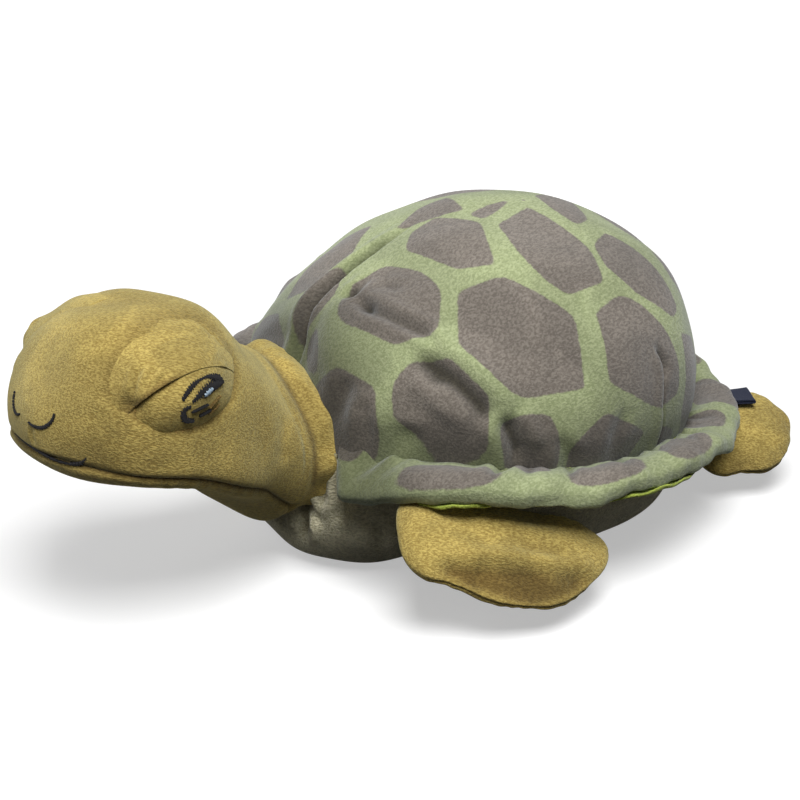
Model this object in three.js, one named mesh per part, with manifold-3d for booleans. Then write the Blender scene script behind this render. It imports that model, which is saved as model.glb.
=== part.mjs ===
// Plush turtle, stuffed, lying on its belly. Millimetres, +Z up, face towards -Y, its left side at +X.
// The origin is on the flat of the belly, under the middle of the shell.
// Each sewn piece is its own solid: cloth panels are thin shells, and the fillings lie inside them.
import * as THREE from 'three';
import { mergeVertices } from 'three/addons/utils/BufferGeometryUtils.js';
import Module from 'manifold-3d';

const wasm = await Module();
wasm.setup();

// Driving dimensions: millimetres, degrees, and shares of them where the name says so.
const seamGap = 0.3;
const fillingGap = 0.6;
const swingGap = 0.2;
const cutOverrun = 20;

const cloth = { plush: 2, lining: 1.4 };

const shell = {
  frontLength: 99,
  rearLength: 100,
  halfWidth: 93,
  domeHeight: 82,
  crownShift: 15,
  footHeight: 55,
  pitchDegrees: 8,
  around: 32,
  levels: 9,
};
const domeRoundness = { sideShare: 0.93, slopeShare: -0.3, curveShare: 0.19, crownPower: 4, shiftPower: 1.5 };

const brim = {
  width: 24,
  thickness: 11,
  liningLip: 1.2,
  neckWidthShare: 0.16,
  neckThicknessShare: 0.15,
  neckFadeStart: 22,
  neckFadeEnd: 38,
  droopDegrees: 14,
  neckDroopDegrees: 34,
  rearLiftDegrees: 11,
  waves: 5,
  waveHeight: 1.2,
  sides: 8,
};

const belly = {
  flatDepth: 0.5,
  floorPower: 1.4,
  rearShift: 6,
  sideShare: 0.46,
  frontShare: -0.18,
  chestShare: 0.11,
  hollowShare: 1.02,
  hollowDegrees: -24,
  hollowSpreadDegrees: 20,
  levels: 7,
};

const neck = { radius: 36, back: 97, height: 57, opening: 24, around: 24, levels: 12 };

const head = {
  rimLead: 14,
  length: 103,
  halfWidth: 45,
  rise: 31,
  crown: 45,
  jawDepth: 24,
  turnDegrees: 13,
  nosePower: 8,
  noseRoundShare: 0.45,
  around: 32,
  levels: 15,
};
// Six stations each, evenly spaced from the neck to the nose.
const headShares = {
  halfWidth: [0.81, 0.93, 0.99, 1, 0.94, 0.8],
  rise: [-0.04, 0.54, 0.84, 0.95, 1, 0.95],
  crown: [0.86, 0.97, 1.02, 1, 0.87, 0.6],
  jawDepth: [1.5, 1.6, 1.22, 1.02, 0.98, 0.8],
};
const headSection = { sidePower: 0.85, crownPower: 0.95, jawPower: 0.55, splitShare: 0.3, blendShare: 0.4 };
// Height of the jaw seam above the middle of the neck, at the same six stations.
const jawSeam = { height: 20, steps: 12, shares: [-1.1, -0.3, 0.33, 0.76, 0.99, 1.25] };

const eye = {
  halfWidth: 24,
  halfLength: 28.5,
  halfHeight: 24.5,
  side: 23,
  ahead: 70,
  above: 45.5,
  openFacing: [0.926, -0.17, -0.337],
  openAhead: 14.9,
  lidSwell: 1.6,
  around: 22,
  levels: 11,
};

const frontFlipper = {
  shoulder: [90.5, -74, 38.6],
  tip: [108, 3, 20],
  faceUp: [0.5, -0.2, 1],
  rootRadius: 16,
  width: 50,
  thickness: 25,
  sweep: 7,
};
const rearFlipper = {
  shoulder: [53, 98, 21.5],
  tip: [55, 139, 25.5],
  faceUp: [0.65, 0, 1],
  rootRadius: 14,
  width: 35,
  thickness: 23,
  sweep: 0,
};
// Five stations each, evenly spaced from the shoulder to the tip.
const flipperShares = { width: [0.7, 0.97, 1, 0.85, 0.55], thickness: [0.94, 1, 1, 0.86, 0.6] };
const flipperShape = {
  endPower: 5,
  endRoundShare: 0.5,
  edgePower: 0.9,
  leastHalf: 1,
  around: 10,
  rootLevels: 3,
  levels: 7,
};

const tab = { width: 14, length: 11, leaf: 0.7, fold: 0.5, bendSteps: 4, bearingDegrees: 68 };

const colours = {
  print: '#8f8f7c',
  lime: '#a3b453',
  taupe: '#9a9479',
  ochre: '#b08d45',
  ribbon: '#1d2438',
  fibre: '#eeeae0',
  pellets: '#c9c4b8',
};

function clothMaterial(colour) {
  return new THREE.MeshStandardMaterial({ color: colour, roughness: 0.9, metalness: 0 });
}

// Helpers for closed bodies

const radians = THREE.MathUtils.degToRad;
const signedPower = (value, power) => Math.sign(value) * Math.abs(value) ** power;

function smoothStep(from, to, value) {
  const share = THREE.MathUtils.clamp((value - from) / (to - from), 0, 1);
  return share * share * (3 - 2 * share);
}

// A smooth curve through evenly spaced stations, read at a share of the way.
function station(shares, share) {
  const last = shares.length - 1;
  const place = THREE.MathUtils.clamp(share, 0, 1) * last;
  const index = Math.min(Math.floor(place), last - 1);
  const within = place - index;
  const at = (offset) => shares[THREE.MathUtils.clamp(index + offset, 0, last)];
  const slopeIn = (at(1) - at(-1)) / 2;
  const slopeOut = (at(2) - at(0)) / 2;
  const squared = within * within;
  const cubed = squared * within;
  return (
    at(0) * (2 * cubed - 3 * squared + 1) +
    slopeIn * (cubed - 2 * squared + within) +
    at(1) * (3 * squared - 2 * cubed) +
    slopeOut * (cubed - squared)
  );
}

function geometryFrom(points, faces) {
  const geometry = new THREE.BufferGeometry();
  const places = points.flatMap((point) => point.toArray());
  geometry.setAttribute('position', new THREE.Float32BufferAttribute(places, 3));
  let volume = 0;
  for (const [a, b, c] of faces) {
    volume += points[a].dot(new THREE.Vector3().crossVectors(points[b], points[c]));
  }
  const outward = volume > 0 ? faces : faces.map(([a, b, c]) => [a, c, b]);
  geometry.setIndex(outward.flat());
  return geometry;
}

function bandFaces(firstStart, secondStart, count, faces) {
  for (let i = 0; i < count; i += 1) {
    const j = (i + 1) % count;
    faces.push([firstStart + i, firstStart + j, secondStart + j]);
    faces.push([firstStart + i, secondStart + j, secondStart + i]);
  }
}

// A closed body through rings of equal count, with a single point before the first and after the last.
function stackedBody(firstPole, rings, lastPole) {
  const count = rings[0].length;
  const points = [firstPole, ...rings.flat(), lastPole];
  const faces = [];
  for (let i = 0; i < count; i += 1) {
    faces.push([0, 1 + ((i + 1) % count), 1 + i]);
  }
  for (let ring = 1; ring < rings.length; ring += 1) {
    bandFaces(1 + (ring - 1) * count, 1 + ring * count, count, faces);
  }
  const lastRing = 1 + (rings.length - 1) * count;
  for (let i = 0; i < count; i += 1) {
    faces.push([points.length - 1, lastRing + i, lastRing + ((i + 1) % count)]);
  }
  return geometryFrom(points, faces);
}

// A closed body whose sections run round a loop and meet themselves.
function loopedBody(sections) {
  const count = sections[0].length;
  const faces = [];
  sections.forEach((_, index) => {
    bandFaces(index * count, ((index + 1) % sections.length) * count, count, faces);
  });
  return geometryFrom(sections.flat(), faces);
}

// A three.js geometry with its shared corners merged, so that it can be cut.
function welded(geometry) {
  geometry.deleteAttribute('normal');
  geometry.deleteAttribute('uv');
  return mergeVertices(geometry);
}

function solid(geometry, matrix = new THREE.Matrix4()) {
  const placed = geometry.clone().applyMatrix4(matrix);
  return new wasm.Manifold(
    new wasm.Mesh({
      numProp: 3,
      vertProperties: new Float32Array(placed.getAttribute('position').array),
      triVerts: new Uint32Array(placed.getIndex().array),
    }),
  );
}

function geometryOf(body) {
  const mesh = body.getMesh();
  const geometry = new THREE.BufferGeometry();
  geometry.setAttribute('position', new THREE.Float32BufferAttribute(mesh.vertProperties, 3));
  geometry.setIndex(Array.from(mesh.triVerts));
  return geometry;
}

// Frames: the shell is pitched up at the front, and the head is turned on the neck.

const turtle = new THREE.Group();

const shellFrame = new THREE.Group();
shellFrame.position.set(0, 0, shell.footHeight);
shellFrame.rotation.x = -radians(shell.pitchDegrees);
turtle.add(shellFrame);

const neckFrame = new THREE.Group();
neckFrame.position.set(0, -neck.back, neck.height);
turtle.add(neckFrame);

const headFrame = new THREE.Group();
headFrame.rotation.z = radians(head.turnDegrees);
neckFrame.add(headFrame);

turtle.updateMatrixWorld(true);

function between(from, to) {
  return to.matrixWorld.clone().invert().multiply(from.matrixWorld);
}

function addMesh(frame, name, geometry, colour) {
  const mesh = new THREE.Mesh(geometry, clothMaterial(colour));
  mesh.name = name;
  frame.add(mesh);
}

// Shell plan and dome

function planPoint(turn, inset) {
  const length = Math.sin(turn) < 0 ? shell.frontLength : shell.rearLength;
  return new THREE.Vector2((shell.halfWidth - inset) * Math.cos(turn), (length - inset) * Math.sin(turn));
}

function domeRing(climb, inset, floorLift) {
  const lift = Math.sin(climb);
  const ring = [];
  for (let i = 0; i < shell.around; i += 1) {
    const turn = (2 * Math.PI * i) / shell.around;
    const foot = planPoint(turn, inset);
    const side = Math.sin(turn);
    const footPower =
      domeRoundness.sideShare + domeRoundness.slopeShare * side + domeRoundness.curveShare * side * side;
    const power = 1 + (footPower - 1) * (1 - lift ** domeRoundness.crownPower);
    const reach = Math.cos(climb) ** power;
    ring.push(
      new THREE.Vector3(
        foot.x * reach,
        foot.y * reach + shell.crownShift * lift ** domeRoundness.shiftPower,
        floorLift + (shell.domeHeight - inset - floorLift) * lift,
      ),
    );
  }
  return ring;
}

function domeRings(inset, floorLift) {
  const rings = [];
  for (let level = 0; level < shell.levels; level += 1) {
    rings.push(domeRing((Math.PI / 2) * (level / shell.levels), inset, floorLift));
  }
  return rings;
}

function crownPoint(inset) {
  return new THREE.Vector3(0, shell.crownShift, shell.domeHeight - inset);
}

function domeShell() {
  const outer = domeRings(0, 0);
  const inner = domeRings(cloth.plush, 0);
  return stackedBody(crownPoint(0), [...outer.reverse(), ...inner], crownPoint(cloth.plush));
}

function domeFilling() {
  const inset = cloth.plush + fillingGap;
  return stackedBody(new THREE.Vector3(0, 0, seamGap), domeRings(inset, seamGap), crownPoint(inset));
}

// Brim: a padded section carried round the plan. Its width fades over the neck and its droop varies.

function brimFrame(turn) {
  const side = Math.sin(turn);
  const fromFront = Math.abs(THREE.MathUtils.radToDeg(Math.atan2(Math.cos(turn), -side)));
  const fade = smoothStep(brim.neckFadeStart, brim.neckFadeEnd, fromFront);
  const faded = (size, share) => size * (share + (1 - share) * fade);
  const droopDegrees =
    brim.droopDegrees +
    Math.max(-side, 0) ** 3 * brim.neckDroopDegrees -
    Math.max(side, 0) * (brim.droopDegrees + brim.rearLiftDegrees);
  const normal = new THREE.Vector2(
    Math.cos(turn) / shell.halfWidth,
    side / (side < 0 ? shell.frontLength : shell.rearLength),
  ).normalize();
  return {
    width: faded(brim.width, brim.neckWidthShare),
    thickness: faded(brim.thickness, brim.neckThicknessShare),
    wave: brim.waveHeight * Math.sin(brim.waves * turn) * fade,
    lip: brim.liningLip * fade,
    droop: radians(droopDegrees),
    normal,
  };
}

// A point of the lens section, by its angle, how far it lies below the padding and its share of the lip.
function brimPoint(turn, angle, drop, lipShare) {
  const { width, thickness, wave, lip, droop, normal } = brimFrame(turn);
  const foot = planPoint(turn, 0);
  const across = (width / 2) * (1 + Math.cos(angle)) + lip * lipShare;
  const height = (thickness / 2) * Math.sin(angle) + wave * (across / brim.width);
  const out = seamGap + across * Math.cos(droop) + height * Math.sin(droop);
  const up = height * Math.cos(droop) - across * Math.sin(droop) - drop;
  return new THREE.Vector3(foot.x + normal.x * out, foot.y + normal.y * out, up);
}

function brimSections(pointsAt) {
  const sections = [];
  for (let i = 0; i < shell.around; i += 1) {
    sections.push(pointsAt((2 * Math.PI * i) / shell.around));
  }
  return sections;
}

function brimBody() {
  return loopedBody(
    brimSections((turn) =>
      Array.from({ length: brim.sides }, (_, k) => brimPoint(turn, (2 * Math.PI * k) / brim.sides, 0, 0)),
    ),
  );
}

// The lining follows the lower half of the brim's section and shows a little past its outer edge.
function liningBody() {
  const half = brim.sides / 2;
  return loopedBody(
    brimSections((turn) => {
      const face = (drop) =>
        Array.from({ length: half + 1 }, (_, k) =>
          brimPoint(turn, Math.PI + (Math.PI * k) / half, drop, k === half ? 1 : 0),
        );
      return [...face(seamGap), ...face(seamGap + cloth.lining).reverse()];
    }),
  );
}

// Belly: a bowl under the shell's foot, fuller towards the chest and flat where it lies.

function bellyPoint(turn, sink, inset) {
  const depth = 1 - (1 - Math.sin(sink)) ** belly.floorPower;
  const foot = planPoint(turn, inset);
  const fromSide = THREE.MathUtils.radToDeg(Math.atan2(Math.sin(turn), Math.abs(Math.cos(turn))));
  const hollow = Math.exp(-(((fromSide - belly.hollowDegrees) / belly.hollowSpreadDegrees) ** 2));
  const power =
    belly.sideShare + belly.frontShare * Math.max(-Math.sin(turn), 0) + belly.hollowShare * hollow;
  const reach = Math.cos(sink) ** power;
  const pitch = radians(shell.pitchDegrees);
  const chest = 1 + belly.chestShare * Math.max(-Math.sin(turn), 0) * depth * depth;
  const y = foot.y * reach * chest * Math.cos(pitch) - belly.rearShift * depth;
  const top = shell.footHeight - Math.tan(pitch) * y - seamGap / Math.cos(pitch);
  const bottom = inset - belly.flatDepth;
  return new THREE.Vector3(foot.x * reach, y, top + (bottom - top) * depth);
}

function bellyRings(inset) {
  const rings = [];
  for (let level = 0; level < belly.levels; level += 1) {
    const sink = (Math.PI / 2) * (level / belly.levels);
    const ring = [];
    for (let i = 0; i < shell.around; i += 1) {
      ring.push(bellyPoint((2 * Math.PI * i) / shell.around, sink, inset));
    }
    rings.push(ring);
  }
  return rings;
}

function bellyBowl() {
  const outer = bellyRings(0);
  const inner = bellyRings(cloth.plush + belly.flatDepth);
  const nadir = (inset) => new THREE.Vector3(0, -belly.rearShift, inset - belly.flatDepth);
  return stackedBody(nadir(0), [...outer.reverse(), ...inner], nadir(cloth.plush + belly.flatDepth));
}

function bellyPouch() {
  const inset = cloth.plush + belly.flatDepth + fillingGap;
  const nadir = new THREE.Vector3(0, -belly.rearShift, inset - belly.flatDepth);
  const top = new THREE.Vector3(0, 0, shell.footHeight - seamGap);
  return stackedBody(top, bellyRings(inset), nadir);
}

// Neck: a stuffed roll, round about the point that the head turns and nods on.

function ballBody(radius) {
  const rings = [];
  for (let level = 1; level < neck.levels; level += 1) {
    const climb = (Math.PI * level) / neck.levels - Math.PI / 2;
    const ring = [];
    for (let i = 0; i < neck.around; i += 1) {
      const turn = (2 * Math.PI * i) / neck.around;
      const level = radius * Math.cos(climb);
      ring.push(new THREE.Vector3(level * Math.cos(turn), level * Math.sin(turn), radius * Math.sin(climb)));
    }
    rings.push(ring);
  }
  return stackedBody(new THREE.Vector3(0, 0, -radius), rings, new THREE.Vector3(0, 0, radius));
}

// The facets of a ball lie inside its radius, so a socket round it is drawn larger by that much.
const facetShare = 1 / (Math.cos(Math.PI / neck.around) * Math.cos(Math.PI / (2 * neck.levels)));

function socketBody(clearance) {
  return ballBody((neck.radius + clearance) * facetShare);
}

// The neck's cloth is open towards the shell, where its filling meets the body's.
function neckCover() {
  const reach = neck.radius + cutOverrun;
  const rear = new THREE.BoxGeometry(2 * reach, reach, 2 * reach);
  rear.translate(0, neck.opening + reach / 2, 0);
  const hollow = solid(ballBody(neck.radius)).subtract(solid(ballBody(neck.radius - cloth.plush)));
  return hollow.subtract(solid(welded(rear)));
}

function neckFilling() {
  return ballBody(neck.radius - cloth.plush - fillingGap);
}

// Head: sections from the rim over the neck to the nose, each flatter below than above.

function headPoint(share, angle, inset) {
  const end = (1 - share ** head.nosePower) ** head.noseRoundShare;
  const reach = (size, shares) => Math.max(end * size * station(shares, share) - inset, 0);
  const middle = head.rise * station(headShares.rise, share);
  const top = middle + reach(head.crown, headShares.crown);
  const bottom = middle - reach(head.jawDepth, headShares.jawDepth);
  const blend = smoothStep(0, headSection.blendShare, share);
  const power = (value) => 1 + (value - 1) * blend;
  const split = bottom + (top - bottom) * (1 / 2 + (headSection.splitShare - 1 / 2) * blend);
  const lift = Math.sin(angle);
  const height =
    lift > 0
      ? split + (top - split) * lift ** power(headSection.crownPower)
      : split - (split - bottom) * (-lift) ** power(headSection.jawPower);
  const across = signedPower(Math.cos(angle), power(headSection.sidePower));
  const side = reach(head.halfWidth, headShares.halfWidth) * across;
  return new THREE.Vector3(side, -head.rimLead - (head.length - inset) * share, height);
}

function headBody(inset, rearOverrun) {
  const sections = [];
  for (let level = 0; level < head.levels; level += 1) {
    const share = Math.sin(((Math.PI / 2) * level) / head.levels);
    const ring = [];
    for (let i = 0; i < head.around; i += 1) {
      ring.push(headPoint(share, (2 * Math.PI * i) / head.around, inset));
    }
    sections.push(ring);
  }
  if (rearOverrun > 0) {
    sections.unshift(sections[0].map((point) => point.clone().setY(point.y + rearOverrun)));
  }
  const rear = new THREE.Vector3(0, rearOverrun - head.rimLead, 0);
  return stackedBody(rear, sections, headPoint(1, 0, inset));
}

// Everything under the jaw seam, as one block across the head.
function jawBlock(offset) {
  const across = 2 * (head.halfWidth + cutOverrun);
  const floor = -neck.radius - cutOverrun;
  const rear = -cutOverrun;
  const front = head.rimLead + head.length + cutOverrun;
  const seamAt = (share) => jawSeam.height * station(jawSeam.shares, share) + offset;
  const outline = new THREE.Shape();
  outline.moveTo(rear, floor);
  outline.lineTo(front, floor);
  outline.lineTo(front, seamAt(1));
  for (let step = jawSeam.steps; step >= 0; step -= 1) {
    const share = step / jawSeam.steps;
    outline.lineTo(head.rimLead + head.length * share, seamAt(share));
  }
  outline.lineTo(rear, seamAt(0));
  const block = new THREE.ExtrudeGeometry(outline, { depth: across, bevelEnabled: false });
  const ahead = new THREE.Vector3(0, -1, 0);
  const up = new THREE.Vector3(0, 0, 1);
  const side = new THREE.Vector3(-1, 0, 0);
  block.applyMatrix4(new THREE.Matrix4().makeBasis(ahead, up, side));
  return block.translate(across / 2, 0, 0);
}

// Eyes: a sewn-on mound at each side of the head, in two halves that meet at the crease of the lid.

function eyeMound(hand, swell) {
  const rings = [];
  for (let level = 1; level < eye.levels; level += 1) {
    const climb = (Math.PI * level) / eye.levels - Math.PI / 2;
    const ring = [];
    for (let i = 0; i < eye.around; i += 1) {
      const turn = (2 * Math.PI * i) / eye.around;
      ring.push(eyePoint(hand, climb, turn, swell));
    }
    rings.push(ring);
  }
  return stackedBody(eyePoint(hand, -Math.PI / 2, 0, swell), rings, eyePoint(hand, Math.PI / 2, 0, swell));
}

function eyePoint(hand, climb, turn, swell) {
  return new THREE.Vector3(
    hand * (eye.side + (eye.halfWidth + swell) * Math.cos(climb) * Math.cos(turn)),
    -eye.ahead + (eye.halfLength + swell) * Math.cos(climb) * Math.sin(turn),
    eye.above + (eye.halfHeight + swell) * Math.sin(climb),
  );
}

// Everything behind the plane of the lid's crease, which arches over the open eye.
function lidBlock(hand, offset) {
  const reach = eye.openAhead + eye.halfLength + cutOverrun;
  const block = new THREE.BoxGeometry(2 * reach, 2 * reach, reach);
  block.translate(0, 0, offset - eye.openAhead + reach / 2);
  const [x, y, z] = eye.openFacing;
  const behind = new THREE.Vector3(-hand * x, -y, -z).normalize();
  block.applyQuaternion(new THREE.Quaternion().setFromUnitVectors(new THREE.Vector3(0, 0, 1), behind));
  return block.translate(hand * eye.side, -eye.ahead, eye.above);
}

// Flippers: a round root at the shoulder, widening to the blade and rounded at the tip.

function flipperFrame(spec, hand) {
  const mirrored = ([x, y, z]) => new THREE.Vector3(hand * x, y, z);
  const shoulder = mirrored(spec.shoulder);
  const along = mirrored(spec.tip).sub(shoulder).normalize();
  const side = along.clone().cross(mirrored(spec.faceUp)).normalize();
  const face = new THREE.Vector3().crossVectors(side, along);
  const frame = new THREE.Group();
  frame.position.copy(shoulder);
  frame.quaternion.setFromRotationMatrix(new THREE.Matrix4().makeBasis(side, along, face));
  turtle.add(frame);
  return frame;
}

function bladeLength(spec) {
  return new THREE.Vector3(...spec.tip).distanceTo(new THREE.Vector3(...spec.shoulder));
}

function flipperRing(sideways, place, halfWidth, halfThickness) {
  const ring = [];
  for (let i = 0; i < flipperShape.around; i += 1) {
    const angle = (2 * Math.PI * i) / flipperShape.around;
    ring.push(
      new THREE.Vector3(
        sideways + halfWidth * Math.cos(angle),
        place,
        halfThickness * signedPower(Math.sin(angle), flipperShape.edgePower),
      ),
    );
  }
  return ring;
}

function flipperBody(spec, hand, inset) {
  const rings = [];
  const rootHalfThickness = (spec.thickness / 2) * flipperShares.thickness[0] - inset;
  for (let level = 1; level < flipperShape.rootLevels; level += 1) {
    const angle = ((Math.PI / 2) * level) / flipperShape.rootLevels;
    const round = Math.sin(angle);
    const place = -(spec.rootRadius - inset) * Math.cos(angle);
    rings.push(flipperRing(0, place, (spec.rootRadius - inset) * round, rootHalfThickness * round));
  }
  const length = bladeLength(spec) - inset;
  for (let level = 0; level < flipperShape.levels; level += 1) {
    const share = Math.sin(((Math.PI / 2) * level) / flipperShape.levels);
    const end = (1 - share ** flipperShape.endPower) ** flipperShape.endRoundShare;
    const half = (size, shares) =>
      Math.max((end * size * station(shares, share)) / 2 - inset, flipperShape.leastHalf);
    const halfWidth = half(spec.width, flipperShares.width);
    const halfThickness = half(spec.thickness, flipperShares.thickness);
    const sideways = spec.sweep * Math.sin(Math.PI * share);
    rings.push(flipperRing(hand * sideways, length * share, halfWidth, halfThickness));
  }
  return stackedBody(
    new THREE.Vector3(0, inset - spec.rootRadius, 0),
    rings,
    new THREE.Vector3(0, length, 0),
  );
}

function halfSpace(spec, sign, offset) {
  const reach = bladeLength(spec) + spec.width + cutOverrun;
  const block = new THREE.BoxGeometry(2 * reach, 2 * reach, reach);
  return block.translate(0, 0, sign * (reach / 2 + offset));
}

function addFlipper(name, spec, hand) {
  const frame = flipperFrame(spec, hand);
  const outer = solid(flipperBody(spec, hand, 0));
  const hollow = outer.subtract(solid(flipperBody(spec, hand, cloth.plush)));
  const upper = hollow.intersect(solid(welded(halfSpace(spec, 1, seamGap / 2))));
  const under = hollow.intersect(solid(welded(halfSpace(spec, -1, seamGap / 2))));
  const filling = flipperBody(spec, hand, cloth.plush + fillingGap);
  addMesh(frame, `${name}_upper`, geometryOf(upper), colours.ochre);
  addMesh(frame, `${name}_underside`, geometryOf(under), colours.ochre);
  addMesh(frame, `${name}_stuffing`, filling, colours.fibre);
}

// Sewn tab: a ribbon folded into a loop, its cut ends in the seam of the brim.

function tabBody() {
  const across = tab.leaf * 2 + tab.fold;
  const outline = new THREE.Shape();
  outline.moveTo(0, 0);
  outline.lineTo(tab.length - across / 2, 0);
  outline.absarc(tab.length - across / 2, across / 2, across / 2, -Math.PI / 2, Math.PI / 2, false);
  outline.lineTo(0, across);
  outline.lineTo(0, across - tab.leaf);
  outline.lineTo(tab.length - across / 2, across - tab.leaf);
  outline.absarc(tab.length - across / 2, across / 2, tab.fold / 2, Math.PI / 2, -Math.PI / 2, true);
  outline.lineTo(0, tab.leaf);
  const ribbon = new THREE.ExtrudeGeometry(outline, {
    depth: tab.width,
    bevelEnabled: false,
    curveSegments: tab.bendSteps,
  });
  ribbon.translate(0, -across / 2, -tab.width / 2);
  const turn = radians(tab.bearingDegrees);
  const { normal, droop } = brimFrame(turn);
  const edge = brimPoint(turn, 0, 0, 1);
  const out = new THREE.Vector3(normal.x * Math.cos(droop), normal.y * Math.cos(droop), -Math.sin(droop));
  const alongEdge = new THREE.Vector3(-normal.y, normal.x, 0);
  const up = new THREE.Vector3().crossVectors(alongEdge, out).negate();
  ribbon.applyMatrix4(new THREE.Matrix4().makeBasis(out, up, new THREE.Vector3().crossVectors(out, up)));
  const seat = edge.addScaledVector(out, seamGap);
  return ribbon.translate(seat.x, seat.y, seat.z);
}

// The shell's cloth and filling are cut round the neck, and what swings keeps clear of them.

const neckSocket = (frame) => solid(socketBody(swingGap), between(neckFrame, frame));
const headOuter = solid(headBody(0, 0));
const headGrown = solid(headBody(-seamGap, 0));

const shellSocket = neckSocket(shellFrame);
const bodySocket = neckSocket(turtle);
const fitted = (geometry, socket) => geometryOf(solid(geometry).subtract(socket));

addMesh(shellFrame, 'shell_cover', fitted(domeShell(), shellSocket), colours.print);
addMesh(shellFrame, 'shell_brim', fitted(brimBody(), shellSocket), colours.print);
addMesh(shellFrame, 'brim_lining', fitted(liningBody(), shellSocket), colours.lime);
addMesh(shellFrame, 'body_stuffing', fitted(domeFilling(), shellSocket), colours.fibre);
addMesh(shellFrame, 'sewn_tab', welded(tabBody()), colours.ribbon);

const floorReach = 2 * (shell.frontLength + shell.rearLength);
const floorBlock = new THREE.BoxGeometry(floorReach, floorReach, cutOverrun);
floorBlock.translate(0, 0, -cutOverrun / 2);
const bowl = solid(bellyBowl()).subtract(solid(welded(floorBlock))).subtract(bodySocket);
addMesh(turtle, 'belly_cover', geometryOf(bowl), colours.taupe);
addMesh(turtle, 'pellet_pouch', fitted(bellyPouch(), bodySocket), colours.pellets);

addMesh(neckFrame, 'neck_cover', geometryOf(neckCover()), colours.ochre);
addMesh(neckFrame, 'neck_stuffing', neckFilling(), colours.fibre);

const headHollow = headOuter
  .subtract(solid(headBody(cloth.plush, cutOverrun)))
  .subtract(solid(socketBody(swingGap)));
const crownCloth = headHollow.subtract(solid(welded(jawBlock(seamGap / 2))));
const jawCloth = headHollow.intersect(solid(welded(jawBlock(-seamGap / 2))));
const headFilling = fitted(headBody(cloth.plush + fillingGap, 0), solid(socketBody(swingGap + cloth.plush)));
addMesh(headFrame, 'head_cover', geometryOf(crownCloth), colours.ochre);
addMesh(headFrame, 'jaw_panel', geometryOf(jawCloth), colours.ochre);
addMesh(headFrame, 'head_stuffing', headFilling, colours.fibre);

for (const [side, hand] of [['left', 1], ['right', -1]]) {
  const aboveCrease = (offset) => solid(welded(lidBlock(hand, offset)));
  const pad = solid(eyeMound(hand, 0)).subtract(headGrown).subtract(aboveCrease(-seamGap / 2));
  const lid = solid(eyeMound(hand, eye.lidSwell)).subtract(headGrown).intersect(aboveCrease(seamGap / 2));
  addMesh(headFrame, `${side}_eye_pad`, geometryOf(pad), colours.ochre);
  addMesh(headFrame, `${side}_eyelid`, geometryOf(lid), colours.ochre);
  addFlipper(`front_${side}_flipper`, frontFlipper, hand);
  addFlipper(`rear_${side}_flipper`, rearFlipper, hand);
}

export default turtle;
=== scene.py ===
import math

import bpy
import numpy as np
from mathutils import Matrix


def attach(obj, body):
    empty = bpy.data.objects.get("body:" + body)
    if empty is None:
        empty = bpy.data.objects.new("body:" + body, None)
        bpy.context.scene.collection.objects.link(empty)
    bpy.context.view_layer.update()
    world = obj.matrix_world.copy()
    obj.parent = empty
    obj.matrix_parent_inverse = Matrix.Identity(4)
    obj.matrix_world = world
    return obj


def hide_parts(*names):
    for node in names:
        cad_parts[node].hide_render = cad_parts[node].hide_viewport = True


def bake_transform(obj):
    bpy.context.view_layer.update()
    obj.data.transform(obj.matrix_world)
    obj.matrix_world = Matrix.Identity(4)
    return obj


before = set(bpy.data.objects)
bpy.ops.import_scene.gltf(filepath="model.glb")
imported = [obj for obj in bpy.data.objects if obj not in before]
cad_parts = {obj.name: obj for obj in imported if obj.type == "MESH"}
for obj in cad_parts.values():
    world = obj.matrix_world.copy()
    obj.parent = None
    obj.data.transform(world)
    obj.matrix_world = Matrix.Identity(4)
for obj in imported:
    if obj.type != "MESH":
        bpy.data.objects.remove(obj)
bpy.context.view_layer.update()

print("turtle: frame loaded with", len(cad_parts), "sewn parts")

# All shapes are worked out in millimetres, face towards -Y, the turtle's left side at +X.
millimetre = 0.001
shell = {"front": 99, "rear": 100, "side": 93, "height": 82, "crownShift": 15, "foot": 55, "pitch": 8}
# the shell is drawn down over the neck: fully within the second angle from the front, not at all past the first
neckReach = (60, 34)
neckCentre = np.array([0.0, -97.0, 57.0])
headTurn = 13
headTurnFrom, headTurnTo = 8, -18
left, right = 1, -1


def smoothStep(low, high, value):
    # 0 below low, 1 above high, three squares less two cubes between them
    share = np.clip((value - low) / (high - low), 0, 1)
    return share * share * (3 - 2 * share)


def signedPower(value, power):
    # the power of the size, with the sign kept
    return np.sign(value) * np.abs(value) ** power


def hump(distance, width):
    # bell curve: 1 at no distance, about a third at one width
    return np.exp(-(distance / width) ** 2)


def station(table, share):
    # smooth curve through evenly spaced stations, read at a share of the way
    table = np.asarray(table, float)
    last = len(table) - 1
    place = np.clip(share, 0, 1) * last
    index = np.minimum(np.floor(place).astype(int), last - 1)
    part = place - index
    before, here, ahead, beyond = (table[np.clip(index + k, 0, last)] for k in (-1, 0, 1, 2))
    square, cube = part ** 2, part ** 3
    return (here * (2 * cube - 3 * square + 1) + (ahead - before) / 2 * (cube - 2 * square + part)
            + ahead * (3 * square - 2 * cube) + (beyond - here) / 2 * (cube - square))


def mirrorPath(path, hand):
    # the same line on the turtle's left (hand 1) or right side (hand -1)
    return [(hand * x, y, z) for x, y, z in path]


def mirrorLines(lines, hand):
    # lines whose first entry is a path and whose others are kept
    return [(mirrorPath(line[0], hand), *line[1:]) for line in lines]


def degreesFromFront(turn):
    # angle in plan from the turtle's front, 0 to 180 on both sides
    return np.abs(np.degrees(np.arctan2(np.cos(turn), -np.sin(turn))))


def degreesFrom(turn, degrees):
    # angle past a place on the plan, -180 to 180
    return (np.degrees(turn) - degrees + 180) % 360 - 180


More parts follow.
